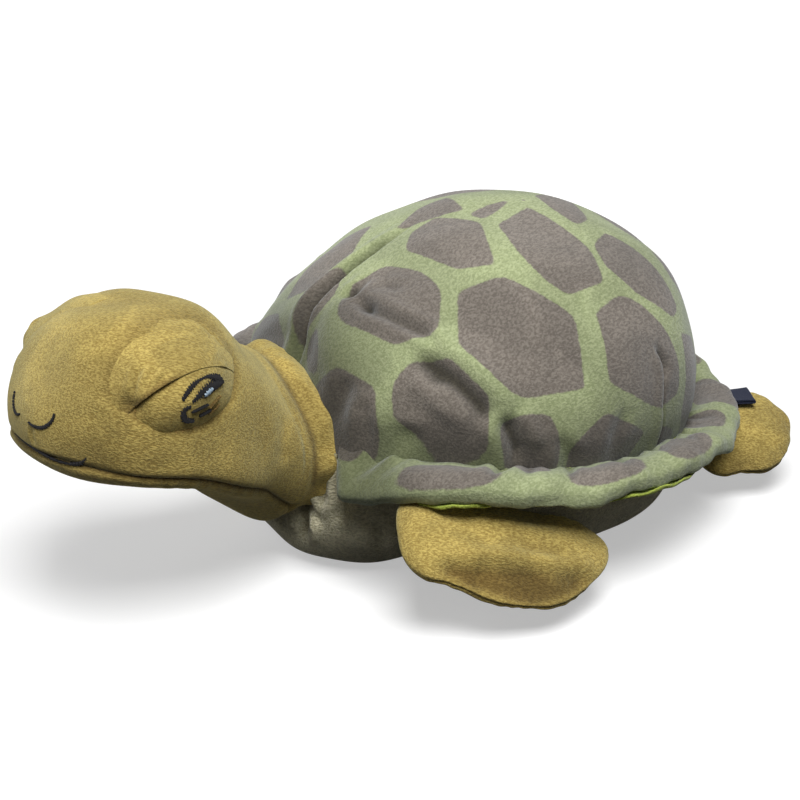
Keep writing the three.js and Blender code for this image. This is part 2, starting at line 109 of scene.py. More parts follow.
def turned(points, degrees):
    # turned about the upright axis, by one angle or by an angle for each point
    angle = np.radians(degrees)
    x, y = points[..., 0], points[..., 1]
    return np.stack([x * np.cos(angle) - y * np.sin(angle), x * np.sin(angle) + y * np.cos(angle),
                     points[..., 2] + 0 * angle], -1)


def fromShell(points):
    # the shell's own frame is pitched up at the front and raised to its foot
    angle = math.radians(shell["pitch"])
    y, z = points[..., 1], points[..., 2]
    return np.stack([points[..., 0], y * math.cos(angle) + z * math.sin(angle),
                     z * math.cos(angle) - y * math.sin(angle) + shell["foot"]], -1)


def fromHead(points):
    # the head's own frame is turned about the upright axis and raised to the neck's middle
    return turned(points, headTurn) + neckCentre


def fromNeck(points, ahead):
    # none of the head's turn behind the neck, all of it ahead, and a smooth change between them
    return turned(points, headTurn * smoothStep(headTurnFrom, headTurnTo, ahead)) + neckCentre


def lumps(points, size, seed, waves=20):
    # smooth lumps of about one size: a sum of sine waves with seeded directions and starts
    draw = np.random.default_rng(seed)
    way = draw.normal(size=(waves, 3))
    way /= np.linalg.norm(way, axis=1)[:, None]
    way *= 2 * np.pi / (size * draw.uniform(0.7, 1.7, (waves, 1)))
    start = draw.uniform(0, 2 * np.pi, waves)
    return np.sin(points @ way.T + start).sum(-1) / math.sqrt(waves / 2)


def outwardNormals(rings, closed=False):
    # the cross product of the two directions of the grid, pointing away from each ring's middle
    around = np.roll(rings, -1, 1) - np.roll(rings, 1, 1)
    along = np.roll(rings, -1, 0) - np.roll(rings, 1, 0) if closed else np.gradient(rings, axis=0)
    normals = np.cross(around, along)
    normals /= np.maximum(np.linalg.norm(normals, axis=-1, keepdims=True), 1e-9)
    away = ((rings - rings.mean(1, keepdims=True)) * normals).sum()
    return normals if away > 0 else -normals


def nearestOnPath(points, normals, path):
    # for a line of straight steps: distance to it, share of the way along it, and distance to its side
    path = np.asarray(path, float)
    steps = np.diff(path, axis=0)
    lengths = np.linalg.norm(steps, axis=1)
    starts = np.concatenate([[0], np.cumsum(lengths)])
    best = np.full(points.shape[:-1], 1e9)
    share, side = np.zeros_like(best), np.zeros_like(best)
    for index, step in enumerate(steps):
        offset = points - path[index]
        part = np.clip(offset @ step / lengths[index] ** 2, 0, 1)
        away = offset - part[..., None] * step
        distance = np.linalg.norm(away, axis=-1)
        nearer = distance < best
        across = np.cross(normals, step / lengths[index])
        best = np.where(nearer, distance, best)
        share = np.where(nearer, (starts[index] + part * lengths[index]) / starts[-1], share)
        side = np.where(nearer, (away * across).sum(-1), side)
    return best, share, side


def fold(points, normals, path, width, depth, ridge=0.35, ends=0.18):
    # a hollow along a path with a low ridge at each side, fading out at both ends
    distance, share, _ = nearestOnPath(points, normals, path)
    fade = smoothStep(0, ends, share) * smoothStep(0, ends, 1 - share)
    return fade * depth * (ridge * hump(distance - 2.2 * width, width) - hump(distance, width))


def folds(points, normals, settings):
    # sum of all folds of one piece
    return sum(fold(points, normals, *line) for line in settings)


def dimple(points, place, width, depth):
    # a round hollow: the depth times the bell curve of the distance to its place
    return -depth * hump(np.linalg.norm(points - np.asarray(place, float), axis=-1), width)


def makeMesh(name, points, corners, sizes, smooth=True):
    # one object from points in millimetres, the corner numbers of all faces and each face's count of them
    mesh = bpy.data.meshes.new(name)
    mesh.vertices.add(len(points))
    mesh.vertices.foreach_set("co", (points * millimetre).astype(np.float32).ravel())
    mesh.loops.add(len(corners))
    mesh.loops.foreach_set("vertex_index", corners.astype(np.int32))
    mesh.polygons.add(len(sizes))
    mesh.polygons.foreach_set("loop_start", (np.cumsum(sizes) - sizes).astype(np.int32))
    mesh.polygons.foreach_set("loop_total", sizes.astype(np.int32))
    mesh.polygons.foreach_set("use_smooth", np.full(len(sizes), smooth))
    mesh.update(calc_edges=True)
    made = bpy.data.objects.new(name, mesh)
    bpy.context.scene.collection.objects.link(made)
    return made


def skinRings(name, rings, poles=None):
    # a closed skin through rings of equal count: a point beyond each end, or the last ring joined to the first
    rows, count = rings.shape[:2]
    column = np.arange(count)
    following = np.roll(column, -1)
    row = np.arange(rows if poles is None else rows - 1)[:, None]
    here, ahead = row * count, (row + 1) % rows * count
    quads = np.stack([here + column, here + following, ahead + following, ahead + column], -1).reshape(-1, 4)
    points, fans = rings.reshape(-1, 3), np.zeros((0, 3), int)
    if poles is not None:
        first, last, end = len(points), len(points) + 1, (rows - 1) * count
        points = np.concatenate([points, np.asarray(poles, float)])
        fans = np.concatenate([np.stack([following, column, first + 0 * column], -1),
                               np.stack([end + column, end + following, last + 0 * column], -1)])
    a, b, c, d = (points[quads[:, k]] for k in range(4))
    if (np.cross(b - a, c - a) * a).sum() + (np.cross(c - a, d - a) * a).sum() < 0:
        quads, fans = quads[:, ::-1], fans[:, ::-1]
    sizes = np.concatenate([np.full(len(quads), 4), np.full(len(fans), 3)])
    return makeMesh(name, points, np.concatenate([quads.ravel(), fans.ravel()]), sizes)


def setField(piece, name, values, rest=0.0):
    # one number for each point of the mesh, which the material reads; the poles get the rest value
    field = piece.data.attributes.new(name, "FLOAT", "POINT")
    filled = np.full(len(piece.data.vertices), rest, np.float32)
    filled[:values.size] = values.ravel()
    field.data.foreach_set("value", filled)


def evenShares(path, count):
    # shares of a dense line at which it is cut into steps of equal length
    length = np.concatenate([[0], np.cumsum(np.linalg.norm(np.diff(path, axis=0), axis=1))])
    return np.interp(np.linspace(0, length[-1], count), length, np.linspace(0, 1, len(path)))


def finish(piece, material, body, replaced):
    # material, body and the solids it stands for; a piece without a named body keeps its place baked in
    piece.data.materials.append(material)
    if isinstance(body, str):
        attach(piece, body)
    else:
        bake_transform(piece)
    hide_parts(*replaced)
    return piece


# Materials. Colours are written as they show, 0 to 255, and turned into the renderer's own scale.

def colour(red, green, blue):
    share = np.array([red, green, blue]) / 255
    line = np.where(share <= 0.04045, share / 12.92, ((share + 0.055) / 1.055) ** 2.4)
    return (*line.tolist(), 1.0)


def addNode(tree, kind, **settings):
    # one node with its settings
    node = tree.nodes.new(kind)
    for name, value in settings.items():
        setattr(node, name, value)
    return node


def feed(tree, target, source):
    # a socket takes another node's socket or a plain value
    if isinstance(source, bpy.types.NodeSocket):
        tree.links.new(source, target)
    else:
        target.default_value = source


def maths(tree, operation, first, second=0.0, clamp=False):
    # one sum of two values
    node = addNode(tree, "ShaderNodeMath", operation=operation, use_clamp=clamp)
    feed(tree, node.inputs[0], first)
    feed(tree, node.inputs[1], second)
    return node.outputs[0]


def blendColours(tree, share, first, second, kind="MIX"):
    # the first colour at share 0, the blend with the second at share 1
    node = addNode(tree, "ShaderNodeMix", data_type="RGBA", blend_type=kind)
    feed(tree, node.inputs[0], share)
    feed(tree, node.inputs[6], first)
    feed(tree, node.inputs[7], second)
    return node.outputs[2]


def ramp(tree, value, low, high, toLow=0.0, toHigh=1.0, soft=True):
    # a value's range carried over to another range, held beyond its ends
    node = addNode(tree, "ShaderNodeMapRange", interpolation_type="SMOOTHSTEP" if soft else "LINEAR")
    for index, source in enumerate((value, low, high, toLow, toHigh)):
        feed(tree, node.inputs[index], source)
    return node.outputs[0]


def noise(tree, vector, scale, detail=2.0, distortion=0.0, roughness=0.5):
    # smooth noise from 0 to 1
    node = addNode(tree, "ShaderNodeTexNoise")
    feed(tree, node.inputs["Vector"], vector)
    for name, value in (("Scale", scale), ("Detail", detail), ("Distortion", distortion),
                        ("Roughness", roughness)):
        feed(tree, node.inputs[name], value)
    return node.outputs["Fac"]


def makeGroup(name, inputs, outputs):
    # an empty node group with named sockets, given as name and kind, and its two end nodes
    group = bpy.data.node_groups.new(name, "ShaderNodeTree")
    for direction, sockets in (("INPUT", inputs), ("OUTPUT", outputs)):
        for socket, kind in sockets:
            group.interface.new_socket(name=socket, in_out=direction, socket_type="NodeSocket" + kind)
    return group, addNode(group, "NodeGroupInput").outputs, addNode(group, "NodeGroupOutput").inputs


def napGroup():
    # brushed nap: tufts drawn out along the lie of the pile, fine fibres over them, broad strokes under them
    group, given, made = makeGroup(
        "brushedNap",
        [("Vector", "Vector"), ("Tuft Scale", "Float"), ("Stretch", "Float"), ("Stroke Scale", "Float"),
         ("Tuft Contrast", "Float")],
        [("Tone", "Float"), ("Stroke", "Float"), ("Height", "Float")])
    lie = addNode(group, "ShaderNodeCombineXYZ")
    split = addNode(group, "ShaderNodeSeparateXYZ")
    feed(group, split.inputs[0], given["Vector"])
    feed(group, lie.inputs[0], split.outputs[0])
    feed(group, lie.inputs[1], maths(group, "DIVIDE", split.outputs[1], given["Stretch"]))
    feed(group, lie.inputs[2], split.outputs[2])
    tufts = noise(group, lie.outputs[0], given["Tuft Scale"], 2.5, 0.5, 0.55)
    fibres = noise(group, lie.outputs[0], maths(group, "MULTIPLY", given["Tuft Scale"], 3.1), 1.0, 0.2)
    strokes = noise(group, given["Vector"], given["Stroke Scale"], 3.0, 0.8, 0.45)
    clumps = ramp(group, tufts, 0.36, 0.66)
    pile = maths(group, "ADD", maths(group, "MULTIPLY", clumps, 0.68), maths(group, "MULTIPLY", fibres, 0.32))
    centred = maths(group, "MULTIPLY", maths(group, "SUBTRACT", pile, 0.5), given["Tuft Contrast"])
    feed(group, made["Tone"], maths(group, "ADD", centred, 0.5, clamp=True))
    feed(group, made["Stroke"], ramp(group, strokes, 0.35, 0.65))
    feed(group, made["Height"], pile)
    return group


def wovenGroup():
    # woven ribbon: two sets of ribs at right angles, each rib over and under the other
    group, given, made = makeGroup("wovenRibs", [("Vector", "Vector"), ("Rib Scale", "Float")],
                                   [("Tone", "Float"), ("Height", "Float")])
    split = addNode(group, "ShaderNodeSeparateXYZ")
    feed(group, split.inputs[0], given["Vector"])
    across = maths(group, "SINE", maths(group, "MULTIPLY", split.outputs[0], given["Rib Scale"]))
    along = maths(group, "SINE", maths(group, "MULTIPLY", split.outputs[1], given["Rib Scale"]))
    ribs = maths(group, "MULTIPLY", across, along)
    height = maths(group, "ADD", maths(group, "MULTIPLY", ribs, 0.5), 0.5)
    feed(group, made["Height"], height)
    feed(group, made["Tone"], height)
    return group


nap = napGroup()
ribs = wovenGroup()


def startMaterial(name, roughness, sheen=0.0, sheenRoughness=0.4, sheenTint=(1, 1, 1, 1)):
    # a matt cloth: the values that are the same all over it
    material = bpy.data.materials.new(name)
    material.use_nodes = True
    shader = material.node_tree.nodes["Principled BSDF"]
    shader.inputs["Roughness"].default_value = roughness
    shader.inputs["Specular IOR Level"].default_value = 0.25
    shader.inputs["Sheen Weight"].default_value = sheen
    shader.inputs["Sheen Roughness"].default_value = sheenRoughness
    shader.inputs["Sheen Tint"].default_value = sheenTint
    return material, material.node_tree, shader


def objectPlace(tree, rotation=(0, 0, 0)):
    # place on the piece in metres, turned so that its second axis follows the lie of the cloth
    place = addNode(tree, "ShaderNodeTexCoord")
    lie = addNode(tree, "ShaderNodeMapping")
    feed(tree, lie.inputs["Vector"], place.outputs["Object"])
    feed(tree, lie.inputs["Rotation"], [math.radians(a) for a in rotation])
    return lie.outputs[0]


def field(tree, name):
    # the number that setField stored on each point
    return addNode(tree, "ShaderNodeAttribute", attribute_name=name).outputs["Fac"]


def plush(name, look):
    # pile colours between the root and the tip of the nap, strokes over them, and painted shade in creases,
    # hollows and low places
    material, tree, shader = startMaterial(name, look["roughness"], look["sheen"], look["sheenRoughness"],
                                           colour(*look["sheenTint"]))
    group = addNode(tree, "ShaderNodeGroup", node_tree=nap)
    place = objectPlace(tree, look["lie"])
    feed(tree, group.inputs["Vector"], place)
    for socket in ("Tuft Scale", "Stretch", "Stroke Scale", "Tuft Contrast"):
        feed(tree, group.inputs[socket], look[socket])
    shown = blendColours(tree, group.outputs["Tone"], colour(*look["root"]), colour(*look["tip"]))
    if "printed" in look:
        wobble = noise(tree, place, look["wobbleScale"], 3.0)
        edge = maths(tree, "ADD", field(tree, "scuteEdge"),
                     maths(tree, "MULTIPLY", maths(tree, "SUBTRACT", wobble, 0.5), look["wobble"]))
        inScute = ramp(tree, edge, -look["edgeSoftness"], look["edgeSoftness"])
        printed = blendColours(tree, group.outputs["Tone"], colour(*look["printedRoot"]),
                               colour(*look["printed"]))
        shown = blendColours(tree, inScute, shown, printed)
    strokes = ramp(tree, group.outputs["Stroke"], 0.0, 1.0, 1 - look["strokeDepth"], 1 + look["strokeDepth"])
    shown = blendColours(tree, 1.0, shown, strokes, "MULTIPLY")
    # painted shade: the colour is drawn towards a dark shade colour where the field of painted shade is high
    paintedShadeShare = maths(tree, "MULTIPLY", field(tree, "paintedShade"), look["paintedShadeDepth"], clamp=True)
    shown = blendColours(tree, paintedShadeShare, shown, colour(*look["paintedShadeColour"]), "MULTIPLY")
    feed(tree, shader.inputs["Base Color"], shown)
    bump = addNode(tree, "ShaderNodeBump")
    feed(tree, bump.inputs["Strength"], look["bump"])
    feed(tree, bump.inputs["Distance"], look["pile"] * millimetre)
    feed(tree, bump.inputs["Height"], group.outputs["Height"])
    feed(tree, shader.inputs["Normal"], bump.outputs[0])
    return material


# each look holds a dark colour and a depth for the painted shade in creases and low places
skinLook = {
    "root": (114, 91, 36), "tip": (202, 180, 103), "paintedShadeColour": (110, 84, 44), "paintedShadeDepth": 0.75,
    "roughness": 0.88, "sheen": 0.32, "sheenRoughness": 0.5, "sheenTint": (245, 250, 205),
    "lie": (18, 0, 12), "Tuft Scale": 1700.0, "Stretch": 2.6, "Stroke Scale": 42.0, "Tuft Contrast": 0.8,
    "strokeDepth": 0.13, "bump": 0.5, "pile": 0.7,
}
skinPlush = plush("skinPlush", skinLook)
shellLook = {
    "root": (106, 116, 74), "tip": (176, 184, 142), "printedRoot": (70, 62, 55), "printed": (142, 134, 124),
    "wobbleScale": 420.0, "wobble": 1.3, "edgeSoftness": 0.5,
    "paintedShadeColour": (84, 82, 56), "paintedShadeDepth": 0.9,
    "roughness": 0.88, "sheen": 0.3, "sheenRoughness": 0.55, "sheenTint": (235, 240, 245),
    "lie": (10, 0, -25), "Tuft Scale": 1100.0, "Stretch": 2.0, "Stroke Scale": 26.0, "Tuft Contrast": 0.6,
    "strokeDepth": 0.12, "bump": 0.4, "pile": 0.6,
}
shellPlush = plush("shellPlush", shellLook)
bellyLook = {
    "root": (150, 144, 116), "tip": (212, 206, 176), "paintedShadeColour": (120, 116, 90), "paintedShadeDepth": 0.7,
    "roughness": 0.9, "sheen": 0.35, "sheenRoughness": 0.4, "sheenTint": (240, 240, 225),
    "lie": (0, 20, 40), "Tuft Scale": 1200.0, "Stretch": 1.8, "Stroke Scale": 40.0, "Tuft Contrast": 0.8,
    "strokeDepth": 0.09, "bump": 0.6, "pile": 1.1,
}
bellyPlush = plush("bellyPlush", bellyLook)
liningLook = {
    "root": (120, 136, 44), "tip": (182, 196, 92), "paintedShadeColour": (120, 128, 60), "paintedShadeDepth": 0.6,
    "roughness": 0.9, "sheen": 0.3, "sheenRoughness": 0.4, "sheenTint": (245, 250, 220),
    "lie": (0, 0, 0), "Tuft Scale": 900.0, "Stretch": 1.5, "Stroke Scale": 40.0, "Tuft Contrast": 0.9,
    "strokeDepth": 0.06, "bump": 0.5, "pile": 0.8,
}
liningPlush = plush("liningPlush", liningLook)


def thread(name, dark, light, roughness):
    # twisted thread: a lighter and a darker ply in fine turns along the stitch
    material, tree, shader = startMaterial(name, roughness)
    strand = noise(tree, objectPlace(tree), 2600.0, 1.0)
    feed(tree, shader.inputs["Base Color"],
         blendColours(tree, ramp(tree, strand, 0.4, 0.7), colour(*dark), colour(*light)))
    bump = addNode(tree, "ShaderNodeBump")
    feed(tree, bump.inputs["Strength"], 0.4)
    feed(tree, bump.inputs["Distance"], 0.1 * millimetre)
    feed(tree, bump.inputs["Height"], strand)
    feed(tree, shader.inputs["Normal"], bump.outputs[0])
    return material


blackThread = thread("blackThread", (8, 8, 10), (24, 22, 26), 0.7)
paleThread = thread("paleThread", (120, 140, 158), (190, 204, 214), 0.5)
tanThread = thread("tanThread", (120, 92, 44), (176, 146, 84), 0.7)
brownThread = thread("brownThread", (96, 78, 40), (150, 124, 70), 0.7)


def ribbonMaterial():
    # ribs of the weave between a darker and a lighter blue
    material, tree, shader = startMaterial("navyRibbon", 0.7)
    group = addNode(tree, "ShaderNodeGroup", node_tree=ribs)
    feed(tree, group.inputs["Vector"], objectPlace(tree, (0, 0, 30)))
    feed(tree, group.inputs["Rib Scale"], 9000.0)
    feed(tree, shader.inputs["Base Color"],
         blendColours(tree, group.outputs["Tone"], colour(12, 16, 30), colour(28, 35, 58)))
    bump = addNode(tree, "ShaderNodeBump")
    feed(tree, bump.inputs["Strength"], 0.5)
    feed(tree, bump.inputs["Distance"], 0.2 * millimetre)
    feed(tree, bump.inputs["Height"], group.outputs["Height"])
    feed(tree, shader.inputs["Normal"], bump.outputs[0])
    return material


navyRibbon = ribbonMaterial()
print("turtle: materials made")

# Shell dome

dome = {
    "around": 480, "levels": 150, "footPower": (0.93, -0.3, 0.19),
    "footTuck": 1.8, "footTuckHeight": 5, "lump": 0.7, "lumpSize": 42,
    "gather": 1.05, "gatherHeight": 13, "neckRadius": 37, "neckDip": 2.0, "neckDipWidth": 5,
    "skirt": 5.0, "neckSkirt": 6.5, "skirtHeight": 4, "scuteCorner": 1.1, "scuteReach": 48, "fill": 0.75,
    "footShade": 0.85, "footShadeWidth": 3, "lowShade": 0.7, "lowShadeWidth": 21,
    "neckShade": 0.9, "neckShadeWidth": 24,
}
# gathers at the foot: count of waves round the plan, how far a slower wave bends them, its count and start, share
gatherWaves = [(17, 2, 3, 0, 0.5), (29, 1.3, 5, 1, 0.35)]
# corners of each printed scute in the shell's frame; those of the second list lie on both sides
scutes = [
    [(-7, -36, 68), (-8, -24, 74), (12, -14, 77), (40, -23, 67), (33, -36, 63), (5, -45, 64)],
    [(17, -9, 78), (7, 13, 82), (17, 16, 81), (41, 22, 74), (60, 18, 64), (63, -1, 60), (56, -8, 64),
     (40, -12, 70)],
    [(-16, -39, 66), (-25, -21, 72), (-23, -9, 77), (0, -13, 78), (-7, -24, 74), (-11, -35, 69)],
    [(2, -14, 78), (-2, -1, 81), (-2, 10, 82), (7, -3, 80), (10, -12, 78)],
    [(-12, 34, 80), (-8, 46, 78), (20, 36, 78), (26, 26, 79), (12, 22, 81), (-6, 24, 81)],
    [(10, -77, 39), (1, -68, 47), (5, -54, 58), (22, -46, 60), (37, -45, 56), (51, -53, 44), (44, -68, 36),
     (17, -78, 37)],
    [(42, -41, 57), (46, -23, 64), (54, -16, 62), (70, -2, 54), (87, -4, 29), (83, -30, 25), (80, -35, 27),
     (59, -49, 41)],
    [(23, -93, 14), (30, -85, 24), (48, -78, 21), (57, -78, 2), (46, -86, -3), (33, -93, -3)],
    [(-30, -79, 31), (-41, -64, 41), (-48, -44, 52), (-35, -37, 62), (-16, -59, 53), (-18, -76, 39)],
    [(-47, -84, 8), (-40, -82, 21), (-24, -84, 28), (-5, -93, 21), (-26, -93, 10)],
    [(1, -91, 23), (-9, -85, 30), (-17, -70, 45), (-13, -62, 51), (-2, -72, 44), (1, -84, 32)],
    [(4, -90, 25), (4, -83, 33), (16, -87, 27), (22, -92, 18), (13, -93, 18)],
    [(-30, -6, 75), (-22, 8, 80), (-24, 18, 79), (-41, 22, 74), (-60, 18, 64), (-63, -1, 60), (-56, -8, 64),
     (-42, -10, 69)],
    [(-58, -34, 52), (-54, -16, 62), (-70, -2, 54), (-87, -4, 29), (-83, -30, 25), (-80, -35, 27),
     (-66, -44, 38)],
    [(-22, 56, 72), (0, 54, 76), (22, 58, 70), (24, 80, 50), (0, 90, 40), (-22, 80, 50)],
    [(-18, 90, 32), (0, 95, 31), (18, 90, 32), (20, 98, 6), (0, 101, -2), (-20, 98, 6)],
]
pairedScutes = [
    [(40, 25, 74), (30, 38, 76), (35, 46, 72), (45, 54, 65), (59, 60, 50), (65, 53, 48), (63, 33, 59),
     (53, 23, 68)],
    [(70, 8, 55), (64, 23, 60), (65, 31, 58), (71, 48, 44), (74, 54, 31), (77, 53, 19), (84, 41, 15),
     (87, 30, 19), (87, 7, 31)],
    [(66, 58, 42), (56, 73, 36), (54, 80, 21), (60, 77, 4), (72, 64, 0), (76, 58, 9)],
    [(52, -73, 24), (52, -65, 33), (61, -53, 37), (77, -42, 25), (83, -44, 4), (76, -57, -1), (69, -66, 4),
     (58, -75, 12)],
    [(83, -40, 14), (84, -31, 20), (88, -20, 20), (92, -14, 6), (92, -17, -3), (87, -34, -3), (85, -39, 5)],
    [(92, -10, 8), (90, 5, 20), (88, 31, 8), (91, 20, -3), (93, -1, -3), (92, -10, -3)],
    [(30, 60, 66), (44, 63, 58), (46, 78, 40), (34, 86, 36), (30, 76, 52)],
    [(28, 90, 28), (44, 83, 28), (46, 87, 6), (28, 95, 4)],
    [(88, 40, -3), (87, 43, 8), (80, 58, 4), (82, 56, -4)],
]


# soft folds: path in the shell's frame, width, depth, ridge share, share of its length over which it fades
domeFolds = [
    ([(6, -70, 46), (14, -69, 45), (24.4, -67.6, 44.1), (36, -63, 43), (48, -57, 42), (58, -54, 36)],
     2.4, 2.6, 0.5, 0.2),
    ([(50, -66, 34), (55.9, -60.8, 34.1), (66.9, -53.1, 29.2), (76, -46, 22), (82, -42.2, 14)],
     4.6, 4.2, 0.45, 0.2),
    ([(61, -62, 24), (68, -56, 20), (74, -50, 15)], 2.2, 1.4, 0.5, 0.4),
    ([(37, -84, 23), (38, -86.3, 14), (39, -88, 2)], 4.2, 2.6, 0.5, 0.3),
    ([(47, -82, 17), (50, -82, 8), (53, -80, 1)], 2.6, 1.6, 0.5, 0.35),
    ([(82, -38.5, 20), (84, -36, 14), (86.3, -32.7, 7), (88, -29, 1)], 3.6, 4.4, 0.45, 0.3),
    ([(90, -18, 12), (91.5, -12, 5), (92.5, -6, 0)], 2.8, 1.6, 0.5, 0.35),
    ([(56, -76, 5), (63, -70, 6), (70, -63, 5)], 2.8, 2.0, 0.5, 0.4),
    ([(12, -60, 53), (20, -58, 53), (27, -56, 53)], 2.4, 1.0, 0.6, 0.4),
    ([(2, -74, 42), (6, -66, 48), (4, -58, 54)], 2.6, 1.6, 0.5, 0.35),
    ([(88, 18, 22), (90.5, 12, 10), (92, 10, 0)], 3.4, 1.4, 0.5, 0.4),
    ([(-60, -52, 38), (-70, -50, 26), (-80, -44, 12)], 4.6, 2.8, 0.4, 0.25),
    ([(-84, -38, 16), (-88, -32, 3)], 3.2, 2.6, 0.4, 0.3),
    ([(-20, 88, 34), (-22, 93, 20), (-22, 97, 4)], 3.4, 2.2, 0.4, 0.3),
    ([(40, 86, 26), (43, 88, 14), (44, 89, 3)], 3.4, 1.8, 0.4, 0.3),
    ([(-52, -78, 20), (-56, -79, 4)], 3.0, 2.2, 0.4, 0.3),
]
domeDimples = [((4.8, -68.3, 46.6), 3.4, 3.2), ((20, -68.6, 44.5), 3.2, 2.2), ((79.2, 43.6, 32.6), 4.0, 2.2),
               ((-79.2, 43.6, 32.6), 4.0, 2.2), ((63, -60, 28), 4.0, 1.4)]
frontDart = {
    "path": [(-16, -24, 74), (-14.5, -32, 69.9), (-13.7, -40.1, 65.2), (-12.1, -51.4, 58.6),
             (-12.2, -62.3, 51.0), (-10.5, -72.0, 43.2), (-7.7, -80.6, 34.9),
             (-2.5, -87.2, 28.3), (2, -93, 18), (5, -97, 6)],
    "roll": 3.0, "rollAt": -3.4, "rollWidth": 2.8, "drop": 3.4, "dropAt": 1.0, "dropWidth": 1.7,
    "basin": 2.4, "basinAt": 7, "basinWidth": 6, "overhang": 1.9, "overhangWidth": 2.6, "fadeIn": 0.4,
}
rearDart = {
    "path": [(75.8, 36.4, 43), (77.4, 39.6, 37.2), (79, 41.7, 31.1), (81.5, 40.8, 25.4), (83.4, 40.6, 18),
             (83.6, 41.8, 12.8), (84, 43, 5), (84.4, 43.6, 0)],
    "roll": 1.7, "rollAt": -3.6, "rollWidth": 3.2, "drop": 3.2, "dropAt": 0.4, "dropWidth": 2.3,
    "basin": 0.9, "basinAt": 6, "basinWidth": 5, "overhang": 0.9, "overhangWidth": 2.6, "fadeIn": 0.22,
}


def domePoints(turn, climb):
    # an ellipse in plan, drawn in towards a crown set back from the middle by a power of the climb's cosine
    lift, side = np.sin(climb), np.sin(turn)
    plain, bySide, bySquare = dome["footPower"]
    foot = plain + bySide * side + bySquare * side ** 2
    reach = np.cos(climb) ** (1 + (foot - 1) * (1 - lift ** 4))
    length = np.where(side < 0, shell["front"], shell["rear"])
    return np.stack([shell["side"] * np.cos(turn) * reach,
                     length * side * reach + shell["crownShift"] * lift ** 1.5,
                     shell["height"] * lift + 0 * turn], -1)


def scuteField(points):
    # distance into the nearest scute: its least distance to the lines through the sides, rounded at the corners
    best = np.full(points.shape[:-1], -9.0)
    for outline in scutes + pairedScutes + [mirrorPath(paired, right) for paired in pairedScutes]:
        corners = np.array(outline, float)
        sides = np.roll(corners, -1, 0) - corners
        normal = np.cross(corners - corners.mean(0), sides).sum(0)
        inward = np.cross(normal / np.linalg.norm(normal), sides)
        inward /= np.linalg.norm(inward, axis=1)[:, None]
        offset = points[..., None, :] - corners
        depth = np.clip((offset * inward).sum(-1), -12, 40)
        inner = -dome["scuteCorner"] * np.log(np.exp(-depth / dome["scuteCorner"]).sum(-1))
        beside = np.linalg.norm(points - corners.mean(0), axis=-1)
        best = np.maximum(best, np.where(beside < dome["scuteReach"], inner, -9))
    return best


def dartRelief(points, normals, dart):
    # one side of a dart rolls over the other: a round roll, a sharp drop beside it and a shallow basin; also a
    # mask of painted shade along the drop
    distance, share, side = nearestOnPath(points, normals, dart["path"])
    near = hump(np.maximum(distance - np.abs(side), 0), 3)
    fade = smoothStep(0, dart["fadeIn"], share) * near
    basin = dart["basin"] * hump(side - dart["basinAt"], dart["basinWidth"]) * smoothStep(0.35, 0.6, share)
    drop = dart["drop"] * hump(side - dart["dropAt"], dart["dropWidth"])
    roll = dart["roll"] * hump(side - dart["rollAt"], dart["rollWidth"])
    over = dart["overhang"] * hump(side + dart["overhangWidth"], dart["overhangWidth"])
    return fade * (roll - drop - basin), fade * over, fade * hump(side - dart["dropAt"], dart["dropWidth"])


def shellDome():
    # the dome's surface, raised and lowered along its outward directions by folds, darts, gathers and lumps
    turn = np.linspace(0, 2 * np.pi, dome["around"], endpoint=False)[None]
    climb = np.linspace(0, np.pi / 2, dome["levels"], endpoint=False)[:, None]
    rings = domePoints(turn + 0 * climb, climb + 0 * turn)
    normals = outwardNormals(rings)
    height = rings[..., 2]
    edge = scuteField(rings)
    relief = folds(rings, normals, domeFolds)
    for place in domeDimples:
        relief = relief + dimple(rings, *place)
    # painted shade in the hollows of folds and dimples
    paintedShade = np.clip(-relief / 4, 0, 1)
    overs = np.zeros(rings.shape)
    mirrored = dict(rearDart, path=mirrorPath(rearDart["path"], right))
    for dart, flip in ((frontDart, 1), (rearDart, 1), (mirrored, -1)):
        rise, over, shade = dartRelief(rings, normals * flip, dart)
        path = np.array(dart["path"])
        across = np.cross(normals * flip, (path[-1] - path[0]) / np.linalg.norm(path[-1] - path[0]))
        relief, paintedShade = relief + rise, np.maximum(paintedShade, shade)
        overs += over[..., None] * across
    gatherShape = sum(np.sin(count * turn + bend * np.sin(slow * turn + start)) * share
                      for count, bend, slow, start, share in gatherWaves)
    gatherShape = gatherShape + np.sin(11 * turn + 2) * 0.5
    relief = relief + dome["gather"] * gatherShape * np.exp(-height / dome["gatherHeight"])
    relief = relief + dome["lump"] * lumps(rings, dome["lumpSize"], 4)
    relief = relief - dome["footTuck"] * hump(height, dome["footTuckHeight"])
    # painted shade low down, at the very foot and round the neck
    paintedShade = np.maximum(paintedShade, np.maximum(hump(height, dome["footShadeWidth"]) * dome["footShade"],
                                           hump(height, dome["lowShadeWidth"]) * dome["lowShade"]))
    toNeck = np.linalg.norm(fromShell(rings) - neckCentre, axis=-1) - dome["neckRadius"]
    relief = relief - dome["neckDip"] * hump(np.maximum(toNeck, 0), dome["neckDipWidth"])
    paintedShade = np.maximum(paintedShade, dome["neckShade"] * hump(np.maximum(toNeck, 0), dome["neckShadeWidth"]))
    shaped = rings + normals * relief[..., None] + overs
    # its foot hangs down behind the brim, further beside the neck
    skirt = dome["skirt"] + dome["neckSkirt"] * smoothStep(*neckReach, degreesFromFront(turn))
    shaped[..., 2] -= skirt * hump(height, dome["skirtHeight"])
    poles = np.array([[0, 0, 0], [0, shell["crownShift"], shell["height"] + relief[-1].mean()]])
    piece = skinRings("shellDome", fromShell(shaped), fromShell(poles.astype(float)))
    setField(piece, "scuteEdge", edge, 20)
    setField(piece, "paintedShade", paintedShade)
    return finish(piece, shellPlush, "body", ["shell_cover", "body_stuffing"])


shellDome()
print("turtle: shell dome made")

# Brim round the foot of the dome, and its lining

